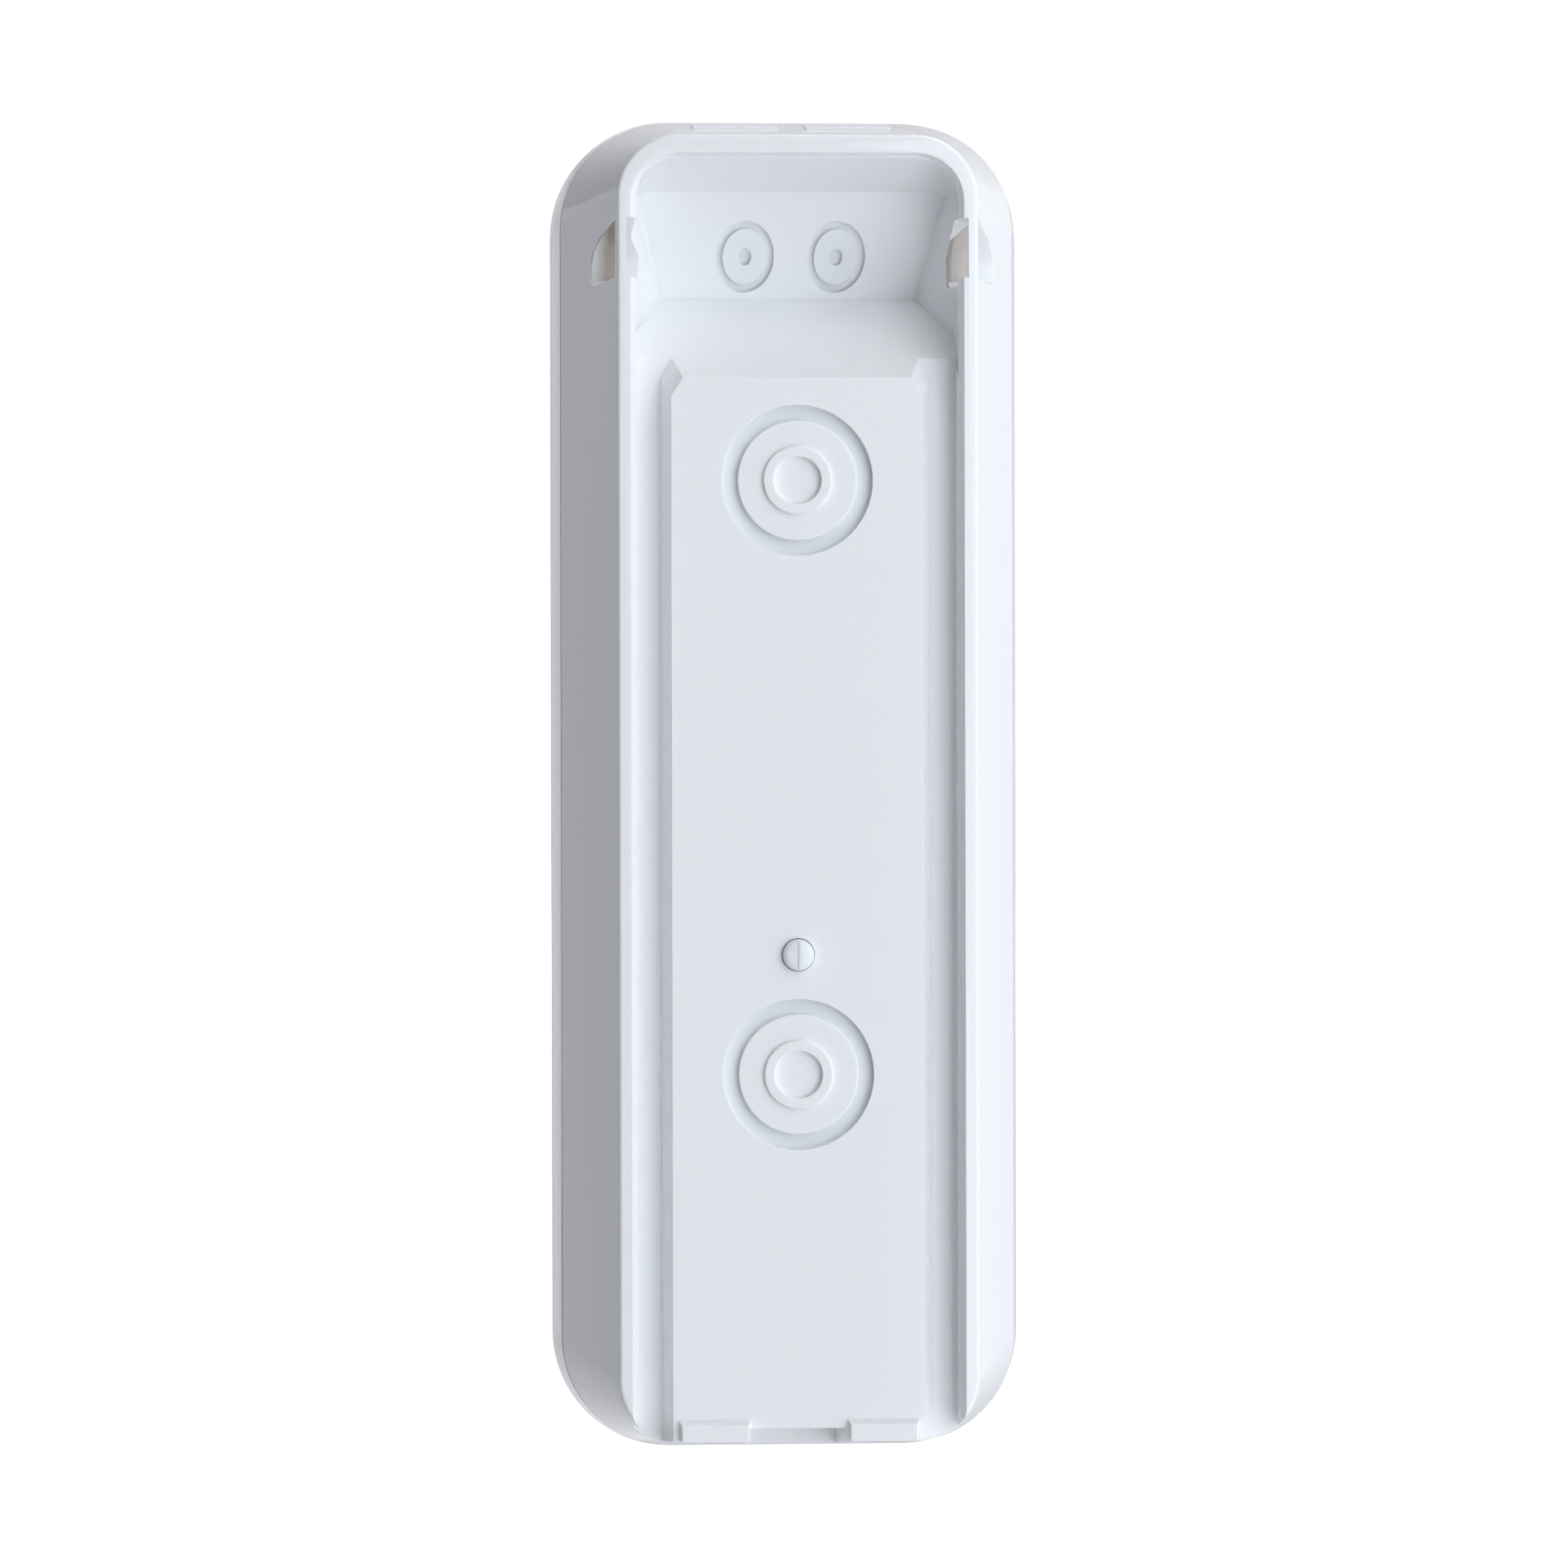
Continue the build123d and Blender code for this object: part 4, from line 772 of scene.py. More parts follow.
FINISHES = {
    "white": white_shell,
    "black": lambda: moulded(
        "panel_gloss_black", bpy.context.scene.doorbell_plastics.panel_black, (0.02, 0.02, 0.022),
        0.07, 1800.0, 0.002, Coat_Weight=0.5, Coat_Roughness=0.03),
    "rubber": lambda: moulded("seal_grey_rubber", (0.045, 0.047, 0.05), (0.06, 0.06, 0.062), 0.62,
                              5200.0, 0.02),
    "latch": latch_strip,
    "pin_plastic": lambda: moulded("pin_white_polymer", (0.88, 0.90, 0.925), (0.86, 0.88, 0.91),
                                   0.26, 3200.0, 0.005, Subsurface_Weight=0.4,
                                   Subsurface_Scale=0.6 * MM),
    "ring_white": lambda: moulded("motion_milky_white", (0.84, 0.855, 0.87), (0.80, 0.82, 0.84),
                                  0.30, 2600.0, 0.004, Subsurface_Weight=0.8,
                                  Subsurface_Scale=1.0 * MM),
    "diffuser": lambda: moulded("ring_light_diffuser", (0.78, 0.82, 0.86), (0.74, 0.79, 0.84),
                                0.22, 2600.0, 0.004, Transmission_Weight=0.35,
                                Subsurface_Weight=0.5, Subsurface_Scale=1.2 * MM),
    "steel": lambda: metal("screw_plated_steel", (0.62, 0.62, 0.63), (0.45, 0.45, 0.46), 0.28),
    "spring": lambda: metal("spring_drawn_steel", (0.56, 0.56, 0.57), (0.38, 0.38, 0.39), 0.3),
    "white_contact": lambda: moulded(
        "contact_white_block", (0.90, 0.912, 0.93), (0.885, 0.90, 0.925), 0.2, 2400.0, 0.004,
        IOR=1.5, Subsurface_Weight=0.6, Subsurface_Scale=0.8 * MM),
    "brass": lambda: metal("strip_spring_bronze", (0.72, 0.47, 0.22), (0.52, 0.33, 0.16), 0.32,
                           (0.12, 1.0, 1.0)),
    "insert": lambda: metal("insert_turned_brass", (0.70, 0.52, 0.22), (0.50, 0.36, 0.15), 0.34,
                            (1.0, 0.1, 1.0)),
    "shield": lambda: metal("shield_tinned_steel", (0.60, 0.61, 0.62), (0.44, 0.45, 0.46), 0.36,
                            (0.12, 1.0, 1.0), 2400.0),
    "solder": lambda: metal("solder_fillet", (0.66, 0.67, 0.68), (0.48, 0.48, 0.49), 0.33,
                            grain=5200.0),
    "board": solder_mask,
    "chip": lambda: moulded("chip_epoxy_black", (0.022, 0.022, 0.024), (0.035, 0.035, 0.037),
                            0.52, 6200.0, 0.012),
    "passive": lambda: moulded("passive_ceramic_tan", (0.34, 0.235, 0.14), (0.25, 0.17, 0.10),
                               0.46, 5200.0, 0.01),
    "cream": lambda: moulded("connector_cream_nylon", (0.72, 0.66, 0.50), (0.66, 0.60, 0.45),
                             0.38, 3200.0, 0.006),
    "wrap": lambda: film("battery_film_wrap", bpy.context.scene.doorbell_electronics.battery_blue,
                         (0.05, 0.12, 0.29), 0.24),
    "tape": lambda: film("battery_end_tape", (0.66, 0.50, 0.12), (0.72, 0.57, 0.18), 0.36, 240.0),
    "foam": lambda: moulded("pad_black_foam", (0.03, 0.03, 0.032), (0.05, 0.05, 0.052), 0.85,
                            1500.0, 0.12),
    "flex": lambda: film("flex_amber_film", (0.60, 0.27, 0.05), (0.68, 0.33, 0.07), 0.24),
    "barrel": lambda: moulded("barrel_satin_black", (0.018, 0.018, 0.02), (0.028, 0.028, 0.03),
                              0.42, 5200.0, 0.01),
    "lens": lens_stack,
    "glass": lambda: clear("camera_cover_glass", (0.94, 0.95, 0.96), 0.02),
    "led": lambda: clear("infrared_led_epoxy", (0.80, 0.82, 0.90), 0.04, 1.55),
    "phosphor": lambda: moulded("ring_led_phosphor", (0.80, 0.72, 0.28), (0.74, 0.66, 0.24), 0.35,
                                5200.0, 0.008),
    "die": lambda: metal("sensor_window_dark", (0.14, 0.10, 0.16), (0.08, 0.06, 0.10), 0.16),
    "cone": lambda: moulded("speaker_cone_film", (0.10, 0.10, 0.105), (0.14, 0.14, 0.145), 0.35,
                            1800.0, 0.02, Coat_Weight=0.3),
    "mesh": lambda: woven("grille_woven_mesh", (0.07, 0.07, 0.075), (0.008, 0.008, 0.009), 2600.0,
                          0.55, 0.05),
    "switch": lambda: moulded("switch_black_body", (0.035, 0.035, 0.038), (0.05, 0.05, 0.052),
                              0.42, 4200.0, 0.01),
}


def finish(name):
    """A named finish's material, made at its first use."""
    made = "doorbell_" + name
    if made not in bpy.context.scene:
        bpy.context.scene[made] = FINISHES[name]().name
    return bpy.data.materials[bpy.context.scene[made]]


# ---- Small parts that several pieces share ---------------------------------------------------
def spring(node):
    """Merged coil, seated in its node's place with a mesh of its own."""
    piece = seat(smoothed(twin(node, node + "_coil"), 40.0), "spring", "spring_steel", node)
    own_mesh(piece)


def screw(name, node, head, head_height, shank, drive):
    """Screws of one node, in millimetres: a rounded head with a cross recess, and a thread."""
    low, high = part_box(node)
    length = (high.y - low.y) / MM
    pitch, root = 0.5 * shank, 0.86 * shank
    profile = [(0, 0.06), (0.6 * head, 0), (0.9 * head, 0.12 * head_height),
               (head, 0.4 * head_height), (head, head_height), (root, head_height)]
    depth = head_height + pitch
    while depth < length - 1.2 * shank:
        profile += [(root, depth), (shank, depth + 0.3 * pitch), (root, depth + 0.6 * pitch)]
        depth += pitch
    profile += [(0.8 * shank, length - 0.8 * shank), (0.1 * shank, length), (0, length)]
    places = [Vector((x, high.y, z)) for x, z in corners(node, head * MM)]
    first = turned(name, places[0], INWARDS[REAR], profile, 28)
    wide, deep = drive * MM, 0.75 * drive * MM
    for across, up in ((wide, 0.26 * wide), (0.26 * wide, wide)):
        reach = Vector((across, deep, up))
        cut(first, block("cutter", places[0] - reach, places[0] + reach))
    others = [copied(first, name + "_%d" % count, place - places[0])
              for count, place in enumerate(places[1:])]
    seat(smoothed(joined([first] + others, name), 38.0), "steel", "screw_steel", node)


def small_part(name, centre, size):
    """Surface-mount part: a ceramic body between two bright end caps, lying along X."""
    centre, size = Vector(centre), Vector(size) / 2
    body = block(name, centre - size, centre + size)
    pick(body, "FACE", lambda at, out: abs(out.x) > 0.9)
    bpy.ops.mesh.inset(thickness=0.06 * MM)
    bpy.ops.object.mode_set(mode="OBJECT")
    eased(body, 0.04 * MM, 1)
    caps = []
    for side in (-1, 1):
        at = centre + Vector((side * size.x * 0.86, 0, 0))
        reach = Vector((size.x * 0.24, size.y + 0.03 * MM, size.z + 0.03 * MM))
        caps.append(eased(block(name + "_cap", at - reach, at + reach), 0.06 * MM, 2))
    return body, joined(caps, name + "_ends")


class Piece:
    """What every operator that builds pieces has in common."""

    bl_options = {"REGISTER", "UNDO"}

    def execute(self, context):
        self.build(context.scene)
        return {"FINISHED"}


class DOORBELL_OT_shells(Piece, bpy.types.Operator):
    """Rear housing, front cover, the seal between them and the liners of the latch windows"""

    bl_idname = "doorbell.shells"
    bl_label = "Shells"

    def build(self, scene):
        edge = scene.doorbell_plastics.shell_edge
        # The thin pads on the top wall keep their crisp edges
        stand_in("rear_housing", "rear_shell", edge, "white", "housing_shell", 3, lambda at: (
            at.z > 65 * MM and -18.0 * MM < at.y < -9.0 * MM and abs(at.x) < 10.5 * MM))
        stand_in("front_cover", "front_shell", edge, "white", "cover_shell")
        stand_in("housing_seal", "parting_seal", edge, "rubber", "seal_rubber")
        # The liners' finish paints light and shade into the latch windows
        self.liner("latch_liner_left", 1, 17.35)
        self.liner("latch_liner_right", -1, 16.0)

    def liner(self, name, side, inner):
        """Formed strip that lines a latch window's upper and deep walls."""
        run = [(-1.3, 57.06), (-6.2, 55.74), (-8.66, 54.2), (-8.66, 51.16)]  # Y and Z, in mm
        outer, slope = 17.97, 0.3118  # where it meets the outer wall, and that wall's lean
        into_window = Vector((0, -4 * MM, 53 * MM))
        piece = strand(name, [Vector((side * inner * MM, y * MM, z * MM)) for y, z in run])
        bpy.ops.mesh.select_mode(type="EDGE")
        bpy.ops.mesh.select_all(action="SELECT")
        bpy.ops.mesh.extrude_region_move(
            TRANSFORM_OT_translate={"value": (side * 5.0 * MM, 0, 0)})
        bpy.ops.object.mode_set(mode="OBJECT")
        pick(piece, "EDGE", lambda a, b: abs(a.x - b.x) > MM and -8.7 * MM < a.y < -6 * MM
             and a.z > 54 * MM)
        bpy.ops.mesh.bevel(offset=1.1 * MM, segments=4)
        bpy.ops.mesh.select_all(action="SELECT")
        bpy.ops.mesh.bisect(plane_co=(side * outer * MM, 0, 0), plane_no=(side, slope, 0),
                            clear_outer=True)
        bpy.ops.mesh.select_all(action="SELECT")
        bpy.ops.mesh.normals_make_consistent(inside=False)
        bpy.ops.object.mode_set(mode="OBJECT")
        # The strip's thickness grows into the window, whichever way its faces turned out
        face = piece.data.polygons[0]
        inside = into_window - Vector((0, face.center.y, face.center.z))
        modify(piece, "SOLIDIFY", thickness=0.1 * MM,
               offset=1.0 if face.normal.dot(inside) > 0 else -1.0)
        with editing(piece):
            bpy.ops.mesh.normals_make_consistent(inside=False)
        seat(smoothed(piece, 32.0), "latch", "housing_shell")


class DOORBELL_OT_caps(Piece, bpy.types.Operator):
    """The two screw caps with their raised rings, and every screw"""

    bl_idname = "doorbell.caps"
    bl_label = "Caps and Screws"

    def build(self, scene):
        edge = scene.doorbell_plastics.small_edge
        profile = [(0, 0.7), (2.4, 0.7), (2.4, 0), (3.45, 0), (3.45, 0.45), (6.05, 0.45),
                   (6.05, 1.2), (4.35, 1.2), (4.35, 2.2), (0, 2.2)]
        for node in ("cap_upper", "cap_lower"):
            piece = turned("screw_" + node, top_of(node, REAR), INWARDS[REAR], profile, 96)
            seat(round_off(piece, 1.3 * edge, 3), "white", "cap_plastic", node)
        screw("case_screw_pair", "case_screws", 2.2, 1.5, 1.2, 0.95)
        screw("board_screw_set", "board_screws", 1.6, 1.0, 0.85, 0.75)
        screw("camera_screw_set", "camera_screws", 1.1, 0.7, 0.6, 0.5)


class DOORBELL_OT_contacts(Piece, bpy.types.Operator):
    """Contact blocks in the pocket, their spring strips, and the bottom screw's insert"""

    bl_idname = "doorbell.contacts"
    bl_label = "Contacts"

    def build(self, scene):
        edge = scene.doorbell_plastics.small_edge
        for side in ("left", "right"):
            stand_in("contact_" + side, "contact_block_" + side, edge, "white_contact",
                     "contact_plate")
        stand_in("contact_strips", "contact_spring_strips", 0.05 * MM, "brass", "spring_brass")
        self.insert()

    def insert(self):
        """Turned brass insert with a threaded bore and a knurl of alternate sunk faces."""
        steps = 40
        at = middle("lock_insert")
        at.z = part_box("lock_insert")[0].z
        profile = [(1.25, 0.3), (1.5, 0), (1.9, 0), (2.1, 0.2), (2.1, 1.9), (1.8, 2.1), (1.8, 2.9),
                   (2.1, 3.1), (2.1, 4.7), (1.9, 5.0), (1.4, 5.0), (1.25, 4.85)]
        profile += [(1.25 + 0.1 * (step % 2), 4.6 - 0.25 * step) for step in range(17)]
        piece = turned("lock_screw_insert", at, (0, 0, 1), profile + profile[:1], steps)

        def knurled(place, out):
            x, y = place.x - at.x, place.y - at.y
            column = int(round(math.degrees(math.atan2(y, x)) / (360 / steps) + 0.5))
            return math.hypot(x, y) > 2.0 * MM and abs(out.z) < 0.1 and column % 2 == 0

        pick(piece, "FACE", knurled)
        bpy.ops.mesh.inset(thickness=0.03 * MM, depth=-0.1 * MM, use_individual=True)
        bpy.ops.object.mode_set(mode="OBJECT")
        seat(piece, "insert", "screw_steel", "lock_insert")


class DOORBELL_OT_plunger(Piece, bpy.types.Operator):
    """Tamper plunger with its witness line, its spring and its switch"""

    bl_idname = "doorbell.plunger"
    bl_label = "Tamper Plunger"

    def build(self, scene):
        at = top_of("tamper_plunger", REAR)
        pin = turned("plunger_pin", at, INWARDS[REAR], [
            (0, 0.03), (1.0, 0.04), (1.32, 0.12), (1.52, 0.28), (1.6, 0.55), (1.6, 4.9),
            (2.6, 4.9), (2.6, 5.7), (1.6, 5.7), (1.6, 12.2), (0, 12.2)], 64)
        round_off(pin, 0.07 * MM, 2, math.radians(40.0))
        line = block("plunger_line", at + Vector((-0.05, -0.3, -1.35)) * MM,
                     at + Vector((0.05, 0, 1.35)) * MM)
        seat(joined([pin, eased(line, 0.03 * MM, 2)], "plunger_pin"), "pin_plastic",
             "plunger_plastic", "tamper_plunger")
        spring("tamper_spring")
        stand_in("tamper_switch", "tamper_switch_body", 0.08 * MM, "switch", "switch_body")


class DOORBELL_OT_camera(Piece, bpy.types.Operator):
    """Gloss black panel, lens window, barrel, coated glass, infrared LEDs and their board"""

    bl_idname = "doorbell.camera"
    bl_label = "Camera"

    def build(self, scene):
        edge = scene.doorbell_plastics.small_edge
        stand_in("camera_bezel", "camera_panel", 1.5 * edge, "black", "bezel_black", 3)
        front = top_of("lens_cover", FRONT)
        glass = turned("lens_window", front, INWARDS[FRONT], [
            (0, 0), (5.95, 0), (6.15, 0.15), (6.15, 0.84), (4.75, 0.84), (4.75, 0.9), (0, 0.9)], 96)
        seat(smoothed(glass, 28.0), "glass", "lens_glass", "lens_cover")
        mask = turned("lens_mask_ring", front, INWARDS[FRONT], [
            (4.5, 0.86), (4.74, 0.855), (6.14, 0.855), (6.14, 0.895), (4.76, 0.895), (4.5, 0.905),
            (4.5, 0.86)], 96)
        seat(mask, "barrel", "barrel_black")
        tip = top_of("lens_barrel", FRONT)
        barrel = turned("lens_tube", tip, INWARDS[FRONT], [
            (0, 0.62), (2.6, 0.62), (2.6, 0.36), (2.85, 0.3), (2.85, 0.16), (3.2, 0.1), (3.2, 0),
            (4.45, 0), (4.6, 0.15), (4.6, 0.5), (4.45, 0.6), (4.45, 1.0), (4.6, 1.1), (4.6, 1.6),
            (3.9, 1.6), (3.9, 2.0), (3.78, 2.1), (3.78, 2.3), (3.9, 2.4), (3.9, 2.7), (3.78, 2.8),
            (3.78, 3.0), (3.9, 3.1), (3.9, 3.8), (0, 3.8)], 80)
        seat(round_off(barrel, 0.04 * MM, 1), "barrel", "barrel_black", "lens_barrel")
        dome = [(2.5 * step / 10, 0.1 + 0.4 * (step / 10) ** 2) for step in range(11)]
        element = turned("lens_front_glass", tip, INWARDS[FRONT], dome + [(2.5, 0.6), (0, 0.6)], 72)
        seat(smoothed(element, 30.0), "lens", "lens_glass")
        stand_in("lens_holder", "lens_mount", 0.12 * MM, "barrel", "barrel_black")
        dress("sensor_board", "board", "circuit_board")
        dress("camera_flex", "flex", "flex_film")
        self.leds()

    def leds(self):
        """One infrared LED with its lens dome and base flange, copied to the other side."""
        base, lens = 1.5, 1.42
        low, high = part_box("infrared_leds")
        length = (high.y - low.y) / MM
        apart = high.x - low.x - 2 * base * MM
        at = Vector((low.x + base * MM, low.y, (low.z + high.z) / 2))
        dome = [(lens * math.sin(step * math.pi / 12), lens * (1 - math.cos(step * math.pi / 12)))
                for step in range(7)]
        profile = dome + [(lens, length - 1.0), (base, length - 0.95), (base, length), (0, length)]
        first = turned("infrared_led_lenses", at, INWARDS[FRONT], profile, 40)
        other = copied(first, "infrared_led_other", Vector((apart, 0, 0)))
        seat(smoothed(joined([first, other], "infrared_led_lenses"), 35.0), "led", "led_clear",
             "infrared_leds")
        cups = [turned("infrared_led_cups", Vector((x, at.y, at.z)), INWARDS[FRONT], [
            (0, 4.0), (0.35, 4.0), (0.35, 3.9), (0.55, 3.8), (0.95, 3.3), (1.05, 3.3), (1.05, 4.4),
            (0, 4.4)], 24) for x in (at.x, at.x + apart)]
        seat(joined(cups, "infrared_led_cups"), "solder", "led_clear")


class DOORBELL_OT_button(Piece, bpy.types.Operator):
    """Dished button, light ring, the LEDs under it, and the button's switch and spring"""

    bl_idname = "doorbell.button"
    bl_label = "Button"

    def build(self, scene):
        edge = scene.doorbell_plastics.small_edge
        dish = [(9.5 * step / 12, 0.5 - 0.34 * (step / 12) ** 4) for step in range(12)]
        cap = turned("bell_button", top_of("button_cap", FRONT), INWARDS[FRONT], dish + [
            (9.55, 0.0), (11.0, 0.0), (11.0, 2.6), (12.1, 2.6), (12.1, 3.5), (2.0, 3.5),
            (2.0, 4.9), (0, 4.9)], 112)
        seat(round_off(cap, 1.6 * edge, 3, math.radians(12.0)), "white", "button_plastic",
             "button_cap")
        ring = turned("glow_ring", top_of("light_ring", FRONT), INWARDS[FRONT], [
            (11.2, 0), (13.5, 0), (13.5, 2.0), (14.7, 2.0), (14.7, 3.6), (11.2, 3.6), (11.2, 0)],
            112)
        seat(round_off(ring, 1.6 * edge, 3), "diffuser", "ring_clear", "light_ring")
        stand_in("ring_leds", "ring_led_bodies", 0.08 * MM, "cream", "led_clear")
        self.phosphors()
        stand_in("button_switch", "button_switch_body", 0.1 * MM, "switch", "switch_body")
        spring("button_spring")

    def phosphors(self):
        """Yellow phosphor lens in the top of each ring LED."""
        low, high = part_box("ring_leds")
        centre = middle("ring_leds")
        reach = (high.x - low.x) / 2 - 0.8 * MM
        places = [Vector((centre.x + reach * math.cos(turn), low.y,
                          centre.z + reach * math.sin(turn)))
                  for turn in (count * math.pi / 4 for count in range(8))]
        first = turned("ring_led_phosphors", places[0], INWARDS[FRONT], [
            (0, -0.1), (0.3, -0.08), (0.5, -0.02), (0.55, 0.03), (0.55, 0.2), (0, 0.2)], 20)
        others = [copied(first, "ring_led_phosphor_%d" % count, place - places[0])
                  for count, place in enumerate(places[1:], 1)]
        seat(smoothed(joined([first] + others, "ring_led_phosphors"), 40.0), "phosphor",
             "led_clear")


class DOORBELL_OT_motion(Piece, bpy.types.Operator):
    """Ringed motion lens and the sensor can behind it"""

    bl_idname = "doorbell.motion"
    bl_label = "Motion Sensor"

    def build(self, scene):
        reach, rise, rings = 5.6, 1.2, 28
        sphere = (reach ** 2 + rise ** 2) / (2 * rise)
        dome = [(0, 0)]
        for step in range(1, rings + 1):
            away = 5.5 * step / rings
            fall = sphere - math.sqrt(sphere ** 2 - away ** 2)
            dome.append((away, fall + (0.045 if step % 4 == 0 else 0.0)))
        lens = turned("motion_window", top_of("motion_lens", FRONT), INWARDS[FRONT], dome + [
            (5.6, 1.28), (5.6, 2.2), (6.4, 2.2), (6.4, 3.0), (4.6, 3.0), (4.6, 1.25), (0, 1.2)], 90)
        seat(smoothed(lens, 18.0), "ring_white", "motion_white", "motion_lens")
        front = top_of("motion_sensor", FRONT)
        stand_in("motion_sensor", "motion_can", 0.12 * MM, "shield", "shield_metal", 3)
        window = block("motion_can_window", front + Vector((-1.9, -0.06, -1.5)) * MM,
                       front + Vector((1.9, 0.1, 1.5)) * MM)
        pick(window, "FACE", lambda at, out: out.y < -0.9)
        bpy.ops.mesh.inset(thickness=0.25 * MM, depth=-0.03 * MM)
        bpy.ops.object.mode_set(mode="OBJECT")
        seat(round_off(window, 0.03 * MM, 1), "die", "shield_metal")


class DOORBELL_OT_sound(Piece, bpy.types.Operator):
    """Speaker with its cone and mesh, and the microphone in its boot"""

    bl_idname = "doorbell.sound"
    bl_label = "Speaker and Microphone"

    def build(self, scene):
        front = top_of("speaker", FRONT)
        basket = turned("speaker_basket", front, INWARDS[FRONT], [
            (0, 1.9), (7.0, 1.9), (7.0, 0.3), (7.2, 0), (8.35, 0), (8.5, 0.15), (8.5, 2.2),
            (8.2, 2.2), (5.5, 2.3), (5.5, 3.2), (5.35, 3.3), (5.35, 3.45), (5.5, 3.55), (5.5, 4.4),
            (3.0, 4.4), (3.0, 4.3), (0, 4.3)], 88)
        seat(round_off(basket, 0.06 * MM, 1), "shield", "speaker_metal", "speaker")
        surround = [(5.5 + 0.7 * (1 - math.cos(turn)), 0.62 - 0.42 * math.sin(turn))
                    for turn in (step * math.pi / 6 for step in range(7))]
        cone = turned("speaker_cone", front, INWARDS[FRONT], [
            (0, 0.55), (1.2, 0.62), (2.2, 0.86), (2.7, 1.15), (2.9, 1.15), (5.3, 0.62)] + surround
            + [(6.98, 0.62), (6.98, 0.74), (5.4, 0.74), (2.9, 1.3), (2.6, 1.3), (0, 0.7)], 72)
        seat(smoothed(cone, 30.0), "cone", "speaker_metal")
        stand_in("speaker_gasket", "speaker_foam_ring", 0.06 * MM, "foam", "foam_tape")
        dress("speaker_mesh", "mesh", "mesh_fabric")
        stand_in("microphone", "microphone_can", 0.12 * MM, "shield", "shield_metal")
        stand_in("microphone_boot", "microphone_rubber", 0.12 * MM, "rubber", "seal_rubber")


# Rows of surface-mount parts: height of the row, then a part's length and height, in mm
PART_ROWS = ((-24.0, 1.6, 0.5), (-26.6, 1.0, 0.35), (-29.2, 1.6, 0.6), (-32.0, 1.0, 0.35),
             (-34.8, 2.0, 0.8))
ROWS_FROM_X = 6.2
ROWS_WIDE = 8.0
PART_GAP = 0.75
PIN_PITCH = 0.8
PIN_HALF = 0.14 * MM


class DOORBELL_OT_board(Piece, bpy.types.Operator):
    """Main board, its chips and their pins, small parts, shield and antenna"""

    bl_idname = "doorbell.board"
    bl_label = "Main Board"

    def build(self, scene):
        dress("main_board", "board", "circuit_board")
        chips = softened("board_chips", "chip_packages", 0.1 * MM)
        pins = []
        for low, high in spread("board_chips", "z"):
            mark = (low.x + 0.9 * MM, high.y + 0.1 * MM, high.z - 0.9 * MM)
            cut(chips, turned("cutter", mark, INWARDS[REAR],
                              [(0, 0), (0.35, 0), (0.35, 0.16), (0, 0.16)], 16))
            pins += [self.pins(low, high, side) for side in (-1, 1)]
        seat(smoothed(chips, 32.0), "chip", "chip_plastic", "board_chips")
        seat(joined(pins, "chip_pins"), "solder", "shield_metal")
        self.small_parts(scene.doorbell_electronics.small_part_count)
        self.shield()
        dress("wifi_antenna", "solder", "shield_metal")

    def pins(self, low, high, side):
        """Row of bent legs along one side of a chip."""
        number = int((high.z - low.z) / MM / PIN_PITCH) - 1
        start = (low.z + high.z) / 2 - (number - 1) * PIN_PITCH / 2 * MM
        x = low.x if side < 0 else high.x
        bends = []
        for long, tall in ((0.7 * MM, 0.14 * MM), (0.25 * MM, 0.45 * MM)):
            end = x + side * long
            bends.append(block("chip_bend", (min(x, end), low.y, start - PIN_HALF),
                               (max(x, end), low.y + tall, start + PIN_HALF)))
        leg = eased(joined(bends, "chip_leg"), 0.03 * MM, 1)
        return in_rows(leg, number, (0, 0, PIN_PITCH * MM))

    def small_parts(self, count):
        """Rows of surface-mount parts on the main board's rear face."""
        if not count:
            return
        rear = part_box("main_board")[1].y
        bodies, ends = [], []
        for row, (z, long, high) in enumerate(PART_ROWS):
            start = Vector((ROWS_FROM_X * MM, rear + high / 2 * MM, z * MM))
            body, caps = small_part("small_part_%d" % row, start,
                                    (long * MM, high * MM, 0.5 * long * MM))
            step = ((long + PART_GAP) * MM, 0, 0)
            fitting = max(1, min(count, int(ROWS_WIDE / (long + PART_GAP))))
            bodies.append(in_rows(body, fitting, step))
            ends.append(in_rows(caps, fitting, step))
        seat(joined(bodies, "small_part_bodies"), "passive", "chip_plastic")
        seat(joined(ends, "small_part_ends"), "solder", "shield_metal")

    def shield(self):
        """Shield can with rounded bends and a field of vent holes in its lid."""
        rows, pitch = 7, 2.0 * MM
        can = softened("shield_can", "shield_cover", 0.14 * MM, 3)
        low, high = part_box("shield_can")
        bpy.ops.object.select_all(action="DESELECT")
        bpy.ops.mesh.primitive_cylinder_add(
            vertices=12, radius=0.45 * MM, depth=0.9 * MM, rotation=(math.pi / 2, 0, 0),
            location=(low.x + 3.5 * MM, high.y, low.z + 3.5 * MM))
        holes = in_rows(in_rows(placed("cutter"), rows, (pitch, 0, 0)), rows, (0, 0, pitch))
        seat(smoothed(cut(can, holes), 32.0), "shield", "shield_metal", "shield_can")


